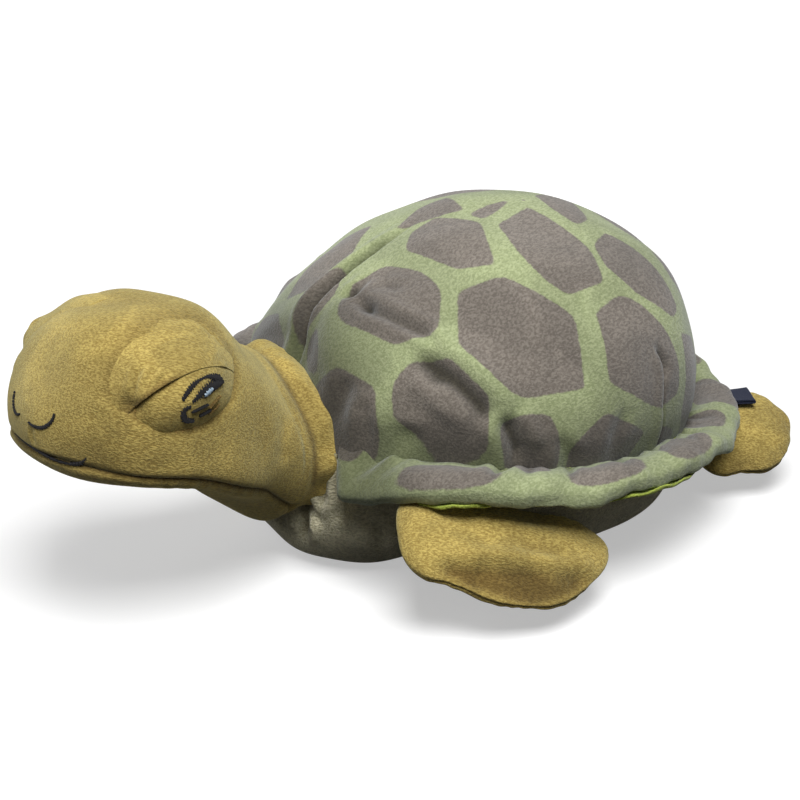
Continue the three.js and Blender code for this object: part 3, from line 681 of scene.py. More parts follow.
brim = {
    "width": 23, "thickness": 14, "neckWidthShare": 0.05, "neckThicknessShare": 0.08, "neckFade": (26, 33),
    "innerShare": 0.3, "innerDrop": 3.0, "blunt": 0.3, "underShare": 0.55,
    "fullReach": 0.7, "roundness": 0.85, "bluntFrom": (0.4, 0.9),
    "droop": 9, "neckDroop": 30, "sideDroop": 32, "sideFade": (32, 56), "rearLift": 11,
    "neckDrop": 3.6, "inset": 1.6, "neckTuck": 3.5, "wave": 1.9, "smallWave": 0.7, "smallestWave": 0.4,
    "around": 600, "section": 44,
    "seamPucker": 0.42, "edgePucker": 0.28, "lump": 0.5, "fill": 0.6, "seamRadius": 100, "edgeRadius": 104,
    "foldSlant": 0.5, "shoulder": 0.4, "foldShade": 0.6,
    "seamShade": 0.7, "seamShadeWidth": 2.5, "neckShade": 0.8, "neckShadeFrom": (54, 38),
    "lip": 0.5, "liningCloth": 1.5, "liningSection": 26, "liningReach": 0.6,
    "liningGap": 0.35, "liningShown": [(-33, 7, 0.34), (12, 12, 0.38), (205, 14, 0.34)],
}
# printed patches of the brim: turn in degrees, half length, middle and half width across it
brimPatches = [
    (-34.5, 19, 13, 9), (-15.5, 8, 3, 6), (0, 17, 13, 8), (25, 15, 13, 9), (47, 9, 8, 10), (64, 15, 14, 10),
    (88, 15, 12, 9), (112, 14, 13, 9), (134, 12, 9, 10), (155, 14, 13, 8), (178, 15, 12, 9), (198, 9, 4, 7),
    (215, 18, 13, 9), (241, 8, 6, 7), (-60, 6, 3, 5),
]
# folds across the brim: turn in degrees, width, depth and reach across it
brimFolds = [
    (-52, 3.4, 2.2, 7), (-46, 2.6, 1.2, 6), (-22, 3.0, 2.6, 8), (-15, 2.4, 1.2, 7), (-5, 2.4, 1.8, 7),
    (9, 2.4, 1.3, 6), (22, 2.2, 1.4, 6), (33, 2.4, 2.2, 7),
    (41, 2.0, 2.0, 5), (52, 2.6, 1.4, 7), (75, 3, 1.0, 6), (103, 3, 1.1, 6), (126, 2.6, 1.2, 5),
    (149, 2.4, 1.1, 5), (170, 2.4, 1.0, 5), (204, 2.4, 1.2, 5), (229, 2.8, 1.4, 5),
]


def planPoint(turn):
    # foot of the shell, half an ellipse ahead and half behind, and the outward direction from its slope
    side = np.sin(turn)
    length = np.where(side < 0, shell["front"], shell["rear"])
    foot = np.stack([shell["side"] * np.cos(turn), length * side], -1)
    normal = np.stack([np.cos(turn) / shell["side"], side / length], -1)
    return foot, normal / np.linalg.norm(normal, axis=-1, keepdims=True)


def brimPoint(turn, angle, drop=0.0, beyond=0.0):
    # a lens-shaped section carried round the plan, drooping more over the neck and lifted at the rear
    side = np.sin(turn)
    fromFront = degreesFromFront(turn)
    fade = np.sqrt(smoothStep(*brim["neckFade"], fromFront))
    width = brim["width"] * (brim["neckWidthShare"] + (1 - brim["neckWidthShare"]) * fade)
    thick = brim["thickness"] * (brim["neckThicknessShare"] + (1 - brim["neckThicknessShare"]) * fade)
    droop = np.radians(brim["droop"] + np.maximum(-side, 0) ** 3 * brim["neckDroop"]
                       + brim["sideDroop"] * (1 - smoothStep(*brim["sideFade"], fromFront))
                       - np.maximum(side, 0) * (brim["droop"] + brim["rearLift"]))
    wave = (brim["wave"] * np.sin(5 * turn) + brim["smallWave"] * np.sin(13 * turn + 1)
            + brim["smallestWave"] * np.sin(23 * turn)) * fade
    foot, normal = planPoint(turn)
    across = width / 2 * (1 + signedPower(np.cos(angle), 0.9)) + beyond * fade
    full = brim["innerShare"] + (1 - brim["innerShare"]) * smoothStep(0, brim["fullReach"], across / width)
    blunt = brim["roundness"] - brim["blunt"] * smoothStep(*brim["bluntFrom"], across / width)
    full = full * np.where(np.sin(angle) < 0, brim["underShare"], 1)
    height = (thick / 2 * full * signedPower(np.sin(angle), blunt) + wave * across / brim["width"]
              - brim["innerDrop"] * fade)
    nearNeck = smoothStep(*neckReach, fromFront)
    out = brim["neckTuck"] * (fade - 1) - brim["inset"] + across * np.cos(droop) + height * np.sin(droop)
    up = height * np.cos(droop) - across * np.sin(droop) - drop - brim["neckDrop"] * nearNeck
    point = np.concatenate([foot + normal * out[..., None], up[..., None]], -1)
    return point, across, fade


def brimField(turn, across):
    # distance into the nearest printed patch, each an oval along the brim with blunt ends
    best = np.full(across.shape, -9.0)
    for degrees, halfLength, middle, halfWidth in brimPatches:
        along = np.radians(degreesFrom(turn, degrees)) * brim["edgeRadius"] + 0.25 * (across - middle)
        size = (np.abs(along / halfLength) ** 3 + np.abs((across - middle) / halfWidth) ** 3) ** (1 / 3)
        best = np.maximum(best, (1 - size) * min(halfLength, halfWidth))
    return best


def shellBrim():
    # the brim's surface with its folds, gathers at the seam and puckers at the outer edge
    turn = np.linspace(0, 2 * np.pi, brim["around"], endpoint=False)[:, None]
    angle = np.linspace(0, 2 * np.pi, brim["section"], endpoint=False)[None]
    turn, angle = turn + 0 * angle, angle + 0 * turn
    rings, across, fade = brimPoint(turn, angle)
    normals = outwardNormals(rings, closed=True)
    top = smoothStep(-0.2, 0.6, np.sin(angle))
    relief, paintedShade = np.zeros(across.shape), np.zeros(across.shape)
    for degrees, width, depth, reach in brimFolds:
        line = np.radians(degreesFrom(turn, degrees)) * brim["seamRadius"] + brim["foldSlant"] * across
        hollow = hump(line, width) * hump(np.maximum(across - 2, 0), reach * 1.6)
        shoulder = brim["shoulder"] * hump(np.abs(line) - 2.1 * width, width) * hump(across, reach * 1.8)
        relief += depth * (shoulder - hollow) * top
        # painted shade in the hollow of each fold
        paintedShade = np.maximum(paintedShade, brim["foldShade"] * hollow * top)
    seamWaves, edgeWaves = np.sin(37 * turn + 2 * np.sin(4 * turn)), np.sin(61 * turn + 3 * np.sin(3 * turn))
    relief += brim["seamPucker"] * seamWaves * hump(across, 6) * fade
    relief += brim["edgePucker"] * edgeWaves * hump(across - brim["width"], 5) * fade
    relief += brim["lump"] * lumps(rings, 22, 9) * fade
    # painted shade in the seam with the dome and beside the neck
    neckShade = brim["neckShade"] * smoothStep(*brim["neckShadeFrom"], degreesFromFront(turn))
    paintedShade = np.maximum(paintedShade, np.maximum(hump(across, brim["seamShadeWidth"]) * brim["seamShade"], neckShade))
    shaped = rings + normals * relief[..., None]
    piece = skinRings("shellBrim", fromShell(shaped))
    setField(piece, "scuteEdge", brimField(turn, across))
    setField(piece, "paintedShade", paintedShade)
    return finish(piece, shellPlush, "body", ["shell_brim"])


def brimLining():
    # the underside of the brim, one cloth thick; in a few places its rounded edge shows below the upper panel
    turn = np.linspace(0, 2 * np.pi, brim["around"], endpoint=False)[:, None]
    part = np.linspace(0, 1, brim["liningSection"])[None]
    reach = brim["liningReach"] + sum(
        more * hump(degreesFrom(turn, degrees), wide)
        for degrees, wide, more in brim["liningShown"])
    lip = brim["lip"] * smoothStep(0.8, 1, part) * reach
    angle = np.pi * (1 + part * reach)
    upper, _, _ = brimPoint(turn + 0 * part, angle, brim["liningGap"], lip)
    lower, _, _ = brimPoint(turn + 0 * part, angle, brim["liningGap"] + brim["liningCloth"], lip)
    edge = upper[:, -1:] * 0.5 + lower[:, -1:] * 0.5
    edge = edge + 0.7 * (edge - (upper[:, -2:-1] + lower[:, -2:-1]) / 2)
    rings = np.concatenate([upper, edge, lower[:, ::-1]], 1)
    rings = rings + 0.25 * lumps(rings, 9, 12)[..., None] * np.array([0, 0, 1.0])
    piece = skinRings("brimLining", fromShell(rings))
    setField(piece, "paintedShade", np.zeros(rings.shape[:2]))
    return finish(piece, liningPlush, "body", ["brim_lining"])


shellBrim()
brimLining()
print("turtle: brim and lining made")

# Belly

belly = {
    "floorPower": 1.4, "rearShift": 6, "sideShare": 0.46, "frontShare": -0.18, "chestShare": 0.11,
    "hollowShare": 1.02, "hollowDegrees": -24, "hollowSpread": 20, "flatDepth": 0.5, "gap": 5.5, "neckGap": 4.5,
    "around": 420, "levels": 96, "lump": 0.8, "gather": 0.8, "fill": 0.65,
}
bellyFolds = [
    ([(24, -97, 41), (26.3, -96.6, 30), (27.5, -96.5, 22), (25, -96, 12)], 2.8, 3.2, 0.6, 0.3),
    ([(27, -97, 34), (33, -94, 28), (38, -91, 24)], 2.2, 1.6, 0.5, 0.35),
    ([(45, -87, 44), (45.5, -87, 36), (43, -88, 27)], 2.8, 2.4, 0.5, 0.35),
    ([(35, -93, 46), (36, -92, 38), (34, -93, 30)], 2.2, 1.3, 0.5, 0.35),
    ([(14, -99, 34), (13, -99, 24), (15, -98, 12)], 2.6, 1.6, 0.5, 0.35),
    ([(-12, -99, 36), (-14, -99, 24), (-12, -98, 12)], 2.6, 1.6, 0.5, 0.35),
    ([(-30, -95, 38), (-33, -94, 26), (-30, -94, 14)], 2.6, 2.0, 0.5, 0.35),
    ([(55, -79, 34), (56, -77, 24), (50, -76, 12)], 2.6, 1.3, 0.5, 0.35),
    ([(80, 20, 34), (74, 22, 18)], 3, 1.4, 0.4, 0.35), ([(-80, 20, 34), (-74, 22, 18)], 3, 1.4, 0.4, 0.35),
    ([(20, 90, 30), (18, 80, 14)], 3, 1.4, 0.4, 0.35), ([(-24, 88, 30), (-22, 78, 14)], 3, 1.6, 0.4, 0.35),
]


def bellyPad():
    # a bowl under the shell's foot, fuller at the chest, hollowed behind the front flippers, flat where it lies
    turn = np.linspace(0, 2 * np.pi, belly["around"], endpoint=False)[None]
    sink = np.linspace(0, np.pi / 2, belly["levels"], endpoint=False)[:, None]
    turn, sink = turn + 0 * sink, sink + 0 * turn
    side = np.sin(turn)
    depth = 1 - (1 - np.sin(sink)) ** belly["floorPower"]
    foot, _ = planPoint(turn)
    fromSide = np.degrees(np.arctan2(side, np.abs(np.cos(turn))))
    power = (belly["sideShare"] + belly["frontShare"] * np.maximum(-side, 0)
             + belly["hollowShare"] * hump(fromSide - belly["hollowDegrees"], belly["hollowSpread"]))
    reach = np.cos(sink) ** power
    pitch = math.radians(shell["pitch"])
    chest = 1 + belly["chestShare"] * np.maximum(-side, 0) * depth ** 2
    y = foot[..., 1] * reach * chest * math.cos(pitch) - belly["rearShift"] * depth
    gap = belly["gap"] + belly["neckGap"] * smoothStep(*neckReach, degreesFromFront(turn))
    top = shell["foot"] - math.tan(pitch) * y - gap / math.cos(pitch)
    rings = np.stack([foot[..., 0] * reach, y, top + (-belly["flatDepth"] - top) * depth], -1)
    normals = outwardNormals(rings)
    relief = folds(rings, normals, bellyFolds) + belly["lump"] * lumps(rings, 34, 21)
    relief = relief + belly["gather"] * np.sin(31 * turn + 2 * np.sin(3 * turn)) * hump(depth, 0.22)
    # painted shade: in the hollows of folds here, and along the top edge under the brim where the field is set
    paintedShade = np.clip(-relief / 3, 0, 1)
    shaped = rings + normals * (relief * smoothStep(0, 6, rings[..., 2]))[..., None]
    shaped[..., 2] = np.maximum(shaped[..., 2], 0)
    poles = [(0, 0, shell["foot"] - 2.0), (0, -belly["rearShift"], 0)]
    piece = skinRings("bellyPad", shaped, poles)
    setField(piece, "paintedShade", np.maximum(paintedShade, hump(depth, 0.05)))
    return finish(piece, bellyPlush, "body", ["belly_cover", "pellet_pouch"])


bellyPad()
print("turtle: belly made")

# Head and neck, all in the head's frame about the middle of the neck

head = {
    "rimLead": 14, "length": 103, "halfWidth": 45, "rise": 31, "crown": 45, "jawDepth": 24,
    "nosePower": 8, "noseRound": 0.45, "sidePower": 0.85, "crownPower": 0.95, "jawPower": 0.55,
    "split": 0.3, "blend": 0.4,
    "halfWidths": [0.81, 0.93, 0.99, 1, 0.94, 0.8], "rises": [-0.04, 0.54, 0.84, 0.95, 1, 0.95],
    "crowns": [0.86, 0.97, 1.02, 1, 0.87, 0.6], "jawDepths": [1.5, 1.6, 1.22, 1.02, 0.98, 0.8],
    "around": 260, "levels": 190, "lump": 0.7, "lumpSize": 36,
    "recess": 2.4, "recessSoft": 1.6, "turnIn": 1.1, "seamShadeWidth": 1.6, "fill": 0.85,
    "edgeRound": 1.3, "edgeRise": 0.2, "edgeGather": 0.25,
    "foldShade": 0.6, "jawFill": 0.7, "jawRows": 130, "jawAround": 90, "jawCloth": 0.5, "jawPadding": 2.2,
}
# height of the jaw seam at six stations from the neck to the nose
jawSeam = [-22, -6.5, 6.5, 15.2, 19.8, 26]
# the neck roll: how far behind the neck's middle, and its radius
rollBack = [-11.5, -8, -5.2, -3, -1, 2, 5, 8.5, 12, 15.5, 19, 22]
rollRadius = [37.0, 36.8, 36.3, 35.8, 35.9, 36.7, 37.5, 37.2, 35.3, 31, 23.5, 13]
# numbers of the roll: a lean forwards or back and a swell below, each over a stretch of its length
neckRoll = {
    "rows": 46, "pole": 24.0, "softTo": 20, "softReach": 1.2,
    "leanAll": 2.6, "leanAbove": 5.2, "leanBelow": 4.5, "leanOver": (-12.5, 2),
    "tipBack": 3.5, "tipOver": (0, 12),
    "swellBelow": 3.2, "swellOver": (-9, 2), "flatAhead": 0.1, "flatAheadOver": (-14, -3),
    "flatBehind": 0.05, "flatBehindOver": (-6, 2), "folds": 0.7, "foldSize": 13, "foldOver": (-8, 2),
    "valleyAt": 3.5, "valleyLean": 2, "valleyWidth": 3.2, "valleyShade": 0.9, "crownFrom": (-9, -13),
}
# the neck's and the head's bodies and two places between them, in metres; finish reads none of these, so the
# cover stays on no body
neckBend = ("neck", "head", (0, -0.087, 0.057), (0, -0.125, 0.057))
headFolds = [
    ([(2.3, -116, 36), (3, -116.6, 32.5), (3.4, -116.7, 28.7)], 1.1, 0.6, 0.4, 0.3),
    ([(-30, -20, 24), (-22, -18, 32), (-8, -18, 38), (6, -18, 39)], 4, 0.8, 0.4, 0.3),
    ([(34, -22, 24), (39, -25, 14), (41, -27, 2)], 4.5, 0.9, 0.4, 0.3),
    ([(30, -97.5, 50), (27, -100, 47.5), (24, -102, 46)], 1.3, 0.7, 0.5, 0.35),
    ([(31, -97, 53), (28, -98, 57), (26, -97, 60)], 1.2, 0.6, 0.5, 0.35),
    ([(34, -97, 47), (35, -99, 42), (36, -99, 38)], 1.2, 0.5, 0.5, 0.35),
    ([(-30, -97.5, 50), (-27, -100, 47.5), (-24, -102, 46)], 1.3, 0.7, 0.5, 0.35),
]
eye = {
    "centre": (2.4, -70.5, 45.5), "half": (44.6, 36.1, 27.3), "facing": (0.826, 0.012, -0.563), "ahead": 26.2,
    "around": 420, "padLevels": 50, "lidLevels": 90, "lidEnd": -0.25, "lidSwell": 1.0, "settle": 0.35,
    "groove": 0.6, "grooveSize": 1.005, "grooveWidth": 0.03, "grooveShade": 0.8, "grooveTop": (60, 46),
    "grooveLeast": 0.6, "lump": 0.3, "fill": 0.9,
    "corner": ((33, -96, 50), 3.4, 2.2), "padCorner": ((35.8, -95, 48.2), 4.0, 2.2),
    # turned-in hems of lid and pad: angles past the crease on the ball, and how far they stand out there
    "lidHem": (-0.04, -0.024, -0.005, 0.008, 0.011), "lidHemRise": (-2.6, -1.2, 0.1, 0.6, 1.0),
    "padHem": (0.045, 0.07, 0.08), "padHemRise": (-0.9, -1.8, -3.5),
}
lidFolds = [
    ([(35.5, -94.5, 50.5), (35, -91.5, 57), (32, -87, 63)], 1.3, 1.1, 0.5, 0.35),
    ([(36.5, -93.5, 51), (38.5, -88, 58.5), (37, -81, 64)], 1.3, 0.8, 0.5, 0.35),
    ([(37, -92.5, 50.5), (40.2, -86, 56.5), (41, -79, 60.5)], 1.1, 0.6, 0.5, 0.35),
    ([(43.5, -60, 57), (40, -54, 58), (36, -50, 57)], 1.8, 0.7, 0.5, 0.35),
]


def headPoint(share, angle):
    # sections that are round at the neck and flatter below than above further on, closed by a blunt nose
    end = (1 - share ** head["nosePower"]) ** head["noseRound"]
    middle = head["rise"] * station(head["rises"], share)
    top = middle + end * head["crown"] * station(head["crowns"], share)
    bottom = middle - end * head["jawDepth"] * station(head["jawDepths"], share)
    blend = smoothStep(0, head["blend"], share)
    split = bottom + (top - bottom) * (0.5 + (head["split"] - 0.5) * blend)
    lift = np.sin(angle)
    up = split + (top - split) * np.abs(lift) ** (1 + (head["crownPower"] - 1) * blend)
    down = split - (split - bottom) * np.abs(lift) ** (1 + (head["jawPower"] - 1) * blend)
    cosine = np.cos(angle)
    across = np.sign(cosine) * np.abs(cosine) ** (1 + (head["sidePower"] - 1) * blend)
    side = end * head["halfWidth"] * station(head["halfWidths"], share) * across
    ahead = -head["rimLead"] - head["length"] * share
    return np.stack([side, ahead + 0 * side, np.where(lift > 0, up, down)], -1)


def headNormals(share, angle):
    # outward directions, from small steps along and round the head
    along = headPoint(np.minimum(share + 1e-4, 0.99999), angle) - headPoint(share - 1e-4, angle)
    around = headPoint(share, angle + 1e-4) - headPoint(share, angle - 1e-4)
    normals = np.cross(around, along)
    return normals / np.maximum(np.linalg.norm(normals, axis=-1, keepdims=True), 1e-12)


def headShares(count):
    # shares at which the sections lie evenly over the crown and round the nose
    dense = np.linspace(0, 1, 4000)
    crown = headPoint(dense, np.full(4000, np.pi / 2))
    cheek = headPoint(dense, np.zeros(4000))
    length = (np.cumsum(np.linalg.norm(np.diff(crown, axis=0), axis=1))
              + np.cumsum(np.linalg.norm(np.diff(cheek, axis=0), axis=1)))
    length = np.concatenate([[0], length])
    return np.interp(np.linspace(0, length[-1], count + 1)[:-1], length, dense)


def aboveSeam(points):
    # height of a point above the jaw seam
    share = (-points[..., 1] - head["rimLead"]) / head["length"]
    return points[..., 2] - station(jawSeam, share)


def moundSize(points, hand):
    # 1 on the eye mound's surface, more outside it
    centre = np.array(eye["centre"]) * np.array([hand, 1, 1])
    return np.linalg.norm((points - centre) / np.array(eye["half"]), axis=-1)


def headRelief(rings, normals):
    # folds, lumps, the groove round each eye mound and the pull of its front corner, with painted shade in folds
    # and in the groove
    relief = folds(rings, normals, headFolds) + head["lump"] * lumps(rings, head["lumpSize"], 7)
    paintedShade = np.clip(-relief / 3, 0, 1) * head["foldShade"]
    for hand in (left, right):
        size = moundSize(rings, hand)
        # the groove is shallower high up
        least = eye["grooveLeast"]
        lower = least + (1 - least) * smoothStep(*eye["grooveTop"], rings[..., 2])
        groove = hump(size - eye["grooveSize"], eye["grooveWidth"]) * lower
        place, width, depth = eye["corner"]
        relief = relief - eye["groove"] * groove + dimple(rings, np.array(place) * [hand, 1, 1], width, depth)
        paintedShade = np.maximum(paintedShade, eye["grooveShade"] * groove)
    return relief, paintedShade


def headHood():
    # the crown panel and the neck roll in one: the roll follows the neck, the crown the turned head
    angle = np.linspace(0, 2 * np.pi, head["around"], endpoint=False)[None]
    share = headShares(head["levels"])[:, None]
    crown = headPoint(share + 0 * angle, angle + 0 * share)
    back = np.linspace(rollBack[0], rollBack[-1], neckRoll["rows"])[::-1, None]
    spots = np.array(rollBack)
    radius = np.interp(back, spots, rollRadius)
    reach = neckRoll["softReach"]
    smooth = sum(np.interp(back + k, spots, rollRadius) for k in np.linspace(-reach, reach, 7)) / 7
    radius = np.where(back < neckRoll["softTo"], smooth, radius)
    above = np.maximum(np.sin(angle), 0)
    # the roll's lower sides, without its lowest line
    low = smoothStep(0.3, -0.3, np.sin(angle)) * smoothStep(-1, -0.88, np.sin(angle))
    lean = neckRoll["leanAll"] - neckRoll["leanAbove"] * above ** 1.5 + neckRoll["leanBelow"] * low
    lean = (lean * smoothStep(*neckRoll["leanOver"], back)
            - neckRoll["tipBack"] * above ** 2 * smoothStep(*neckRoll["tipOver"], back))
    radius = radius + neckRoll["swellBelow"] * low * smoothStep(*neckRoll["swellOver"], back)
    flat = 1 - above * (neckRoll["flatAhead"] * smoothStep(*neckRoll["flatAheadOver"], back)
                        + neckRoll["flatBehind"] * smoothStep(*neckRoll["flatBehindOver"], back))
    roll = np.stack([radius * np.cos(angle), back + lean, radius * flat * np.sin(angle)], -1)
    rings = np.concatenate([roll, crown])
    normals = outwardNormals(rings)
    relief, paintedShade = headRelief(rings, normals)
    seam = aboveSeam(rings)
    onCrown = smoothStep(*neckRoll["crownFrom"], rings[..., 1])
    soft = head["recessSoft"]
    recess = head["recess"] * smoothStep(soft * 0.4, -soft, seam) * onCrown
    turnIn = head["turnIn"] * hump(seam - 0.2, 1.3) * onCrown
    valley = hump(rings[..., 1] + neckRoll["valleyAt"] + neckRoll["valleyLean"] * np.sin(angle),
                  neckRoll["valleyWidth"]) * (rings[..., 1] > neckRoll["crownFrom"][1])
    valley = valley * smoothStep(-0.8, -0.1, np.sin(angle))
    rollFolds = (neckRoll["folds"] * lumps(rings * np.array([1, 0.35, 1]), neckRoll["foldSize"], 33)
                 * smoothStep(*neckRoll["foldOver"], rings[..., 1]))
    shaped = rings + normals * (relief - recess - turnIn + rollFolds)[..., None]
    # painted shade in the recess of the jaw seam and in the valley behind the hood
    seamShade = hump(seam, head["seamShadeWidth"]) * onCrown
    paintedShade = np.maximum(paintedShade, np.maximum(seamShade, neckRoll["valleyShade"] * valley))
    nose = headPoint(np.array(1.0), np.array(0.0)) + np.array([0, -0.2, 0])
    poles = [(0, neckRoll["pole"], 0) + neckCentre, fromHead(nose)]
    piece = skinRings("headHood", fromNeck(shaped, rings[..., 1]), poles)
    setField(piece, "paintedShade", paintedShade)
    return finish(piece, skinPlush, neckBend,
                  ["neck_cover", "neck_stuffing", "head_cover", "head_stuffing"])


def jawPanel():
    # the panel under the seam: the head's own surface below it, closed by an inner wall in the hood's recess
    dense = headShares(500)
    lowest = headPoint(dense, np.full(dense.shape, -np.pi / 2))
    inJaw = dense[(aboveSeam(lowest) < -0.4) & (dense > 0.005)]
    share = np.interp(np.linspace(0, 1, head["jawRows"]), np.linspace(0, 1, len(inJaw)), inJaw)[:, None]
    quarter = np.linspace(-np.pi / 2, np.pi / 2, 600)[None]
    section = headPoint(share + 0 * quarter, quarter + 0 * share)
    seam = aboveSeam(section)
    # the angle at which each section meets the seam
    crossing = (seam < -0.3).sum(1) - 1
    edge = quarter[0][np.maximum(crossing, 1)][:, None]
    outer = np.linspace(0, 1, head["jawAround"])[None]
    angle = edge + (-np.pi - 2 * edge) * outer
    skin = headPoint(share + 0 * angle, angle)
    grown = headNormals(share, angle)
    below = np.maximum(-aboveSeam(skin), 0)
    relief, paintedShade = headRelief(skin, grown)
    rounding = -head["edgeRound"] * hump(below, 1.5) + head["edgeRise"] * hump(below - 4, 3)
    waves = np.sin(skin[..., 1] * 0.9 + 2 * np.sin(skin[..., 1] * 0.11))
    gathers = head["edgeGather"] * waves * hump(below - 2, 3)
    surface = skin + grown * (relief + rounding + gathers)[..., None]
    thick = head["jawPadding"] * smoothStep(0, 3.5, below) + head["jawCloth"]
    inner = surface - grown * thick[..., None]
    rings = np.concatenate([surface, inner[:, ::-1]], 1)
    placed = fromNeck(rings, rings[..., 1])
    piece = skinRings("jawPanel", placed, [placed[0].mean(0), placed[-1].mean(0)])
    # painted shade in folds and along the seam
    both = np.maximum(paintedShade, hump(below, head["seamShadeWidth"]))
    setField(piece, "paintedShade", np.concatenate([both, both[:, ::-1]], 1))
    return finish(piece, skinPlush, neckBend, ["jaw_panel"])


headHood()
jawPanel()
print("turtle: head, jaw and neck roll made")


def moundFrame(hand):
    # the mound as a stretched ball: its pole faces out through the open eye, and the crease lies round it
    flip = np.array([hand, 1, 1])
    centre, half = np.array(eye["centre"]) * flip, np.array(eye["half"], float)
    facing = np.array(eye["facing"]) * half * flip
    stretch = np.linalg.norm(facing)
    pole = facing / stretch
    first = np.cross(pole, [0, 0, 1.0])
    first /= np.linalg.norm(first)
    return centre, half, pole, first, np.cross(pole, first), math.asin(eye["ahead"] / stretch)


def eyePart(side, hand, lid):
    # rings round the pole: the pad from the open eye to the crease, the lid from there round to the far pole
    centre, half, pole, first, second, seam = moundFrame(hand)
    if lid:
        climb = seam - (seam - eye["lidEnd"]) * np.linspace(0, 1, eye["lidLevels"]) ** 1.2
        swell = eye["lidSwell"] * hump(climb - seam, 0.26) - eye["settle"] * smoothStep(0.1, 0.5, seam - climb)
        rows = len(eye["lidHem"])
        climb = np.concatenate([seam + np.array(eye["lidHem"]), climb])
        swell = np.concatenate([eye["lidHemRise"], swell])
        hem = np.concatenate([[1.0] * rows, hump(climb[rows:] - seam, 0.5)])
        ends = (pole * math.sin(seam - 0.3) * 0.8, pole * math.sin(eye["lidEnd"]))
    else:
        climb = np.linspace(np.pi / 2 - 0.02, seam - 0.02, eye["padLevels"])
        swell = -0.4 * hump(climb - seam, 0.06) + 0.2 * hump(climb - seam - 0.25, 0.15)
        rows = len(eye["padHem"])
        climb = np.concatenate([climb, seam - np.array(eye["padHem"])])
        swell = np.concatenate([swell, eye["padHemRise"]])
        hem = np.concatenate([hump(climb[:-rows] - seam, 0.35), [1.0] * rows])
        ends = (pole, pole * math.sin(seam - 0.3) * 0.8)
    turn = np.linspace(0, 2 * np.pi, eye["around"], endpoint=False)[None, :, None]
    climb, swell, hem = climb[:, None, None], swell[:, None], hem[:, None]
    ball = np.cos(climb) * (np.cos(turn) * first + np.sin(turn) * second) + np.sin(climb) * pole
    normals = ball / half
    normals /= np.linalg.norm(normals, axis=-1, keepdims=True)
    # the hem stands out from the inner corner over the eye and melts into the pad behind it
    melt = smoothStep(0.02, -0.4, ball[..., 1])
    sunk = np.minimum(swell, 0) * np.where(swell > -0.5, 0.2 + 0.8 * melt, 1)
    swell = np.where(hem > 0.5, np.maximum(swell, 0) * (0.08 + 0.92 * melt) + sunk, swell)
    rings = centre + ball * half + normals * swell[..., None]
    flip = np.array([hand, 1, 1])
    place, width, depth = eye["padCorner"]
    relief = dimple(rings, np.array(place) * flip, width, depth) + eye["lump"] * lumps(rings, 17, 40 + hand)
    if lid:
        relief = relief + folds(rings, normals, mirrorLines(lidFolds, hand))
    shaped = rings + normals * relief[..., None]
    # painted shade in hollows and along the lid's crease
    paintedShade = np.maximum(np.clip(-relief / 3, 0, 1), 0.9 * melt * hump(climb[..., 0] - seam, 0.05))
    poles = centre + np.array(ends) * half
    piece = skinRings(side + ("Eyelid" if lid else "EyePad"), fromHead(shaped), fromHead(poles))
    setField(piece, "paintedShade", paintedShade)
    replaced = [side + ("_eyelid" if lid else "_eye_pad")]
    return finish(piece, skinPlush, "head", replaced)


for side, hand in (("left", left), ("right", right)):
    eyePart(side, hand, True)
    eyePart(side, hand, False)
print("turtle: eyes made")

# Embroidery: satin stitches, short threads laid side by side across each stroke.
# A stroke is its path and its half width at even places along it, in the head's frame.

stitch = {
    "radius": 0.26, "pitch": 0.42, "along": 7, "sides": 6, "lift": 0.5, "sink": 0.4, "lean": 20, "ragged": 0.38,
    "seamSink": 0.55, "glintOut": 0.012, "tanRadius": 0.18, "runRadius": 0.17,
    "runPitch": 0.45, "runSink": 0.35, "runLift": 0.1,
}
eyeStrokes = [
    ([(46, -78.6, 49.4), (46, -76, 51.7), (45.8, -73.6, 53.3), (45.5, -70.3, 54.4), (45.1, -66.4, 54.7),
      (44.9, -62.6, 53.7), (44.7, -59.4, 51.8), (44.9, -58.3, 49.8)], [0.8, 1.1, 1.3, 1.1, 1.0, 1.2, 1.3, 0.6]),
    ([(47.2, -74.9, 47.8), (47.3, -72, 49.4), (47.1, -69, 50.4), (46.5, -65.2, 51), (46, -61.7, 50.7),
      (45.2, -59.2, 50.2)], [0.6, 1.6, 2.2, 2.1, 1.6, 0.8]),
    ([(47.2, -76, 46.1), (46.8, -77.8, 45.7), (46.4, -78.8, 44.3), (46.2, -78.5, 42), (46.2, -77.1, 40.3),
      (46.5, -74.3, 39.4)], [0.6, 0.9, 1.2, 1.2, 1.0, 0.6]),
    ([(47.3, -75.3, 43.7), (47.6, -73.1, 44), (47.8, -70.8, 44.3), (47.8, -68, 44.6)], [0.4, 0.55, 0.5, 0.3]),
    ([(47.4, -71.6, 40.9), (47.4, -69.1, 41.3), (47.3, -66.6, 41.8)], [0.35, 0.5, 0.3]),
]
eyeGlint = [([(47.4, -69.5, 49), (47.3, -67.4, 49.6), (47, -65.5, 50.1)], [0.5, 1.0, 0.6])]
eyeTanStrokes = [
    ([(47.5, -67, 42.9), (47.4, -64.4, 44.2), (46.9, -61, 45.6)], [0.35, 0.4, 0.3]),
    ([(47.3, -67, 40.2), (47.1, -64.4, 41), (46.6, -61.6, 42.2)], [0.3, 0.4, 0.3]),
]
noseStrokes = [
    ([(1.3, -116.1, 37.4), (3, -116.2, 36.8), (5.2, -116.1, 36.8), (7.9, -115.7, 37.1), (10.1, -115, 38.3),
      (11.5, -114.3, 39.7), (12.3, -113.5, 41.4), (12.4, -112.8, 43.1)],
     [0.2, 0.35, 0.5, 0.6, 0.65, 0.6, 0.5, 0.3]),
    ([(-5.9, -116, 38), (-7.8, -115.6, 37.2), (-10, -115.2, 37.1), (-12.2, -114.4, 38), (-13.9, -113.4, 39.6),
      (-14.8, -112.6, 41.4), (-15, -112, 43)], [0.2, 0.35, 0.5, 0.6, 0.6, 0.5, 0.3]),
]
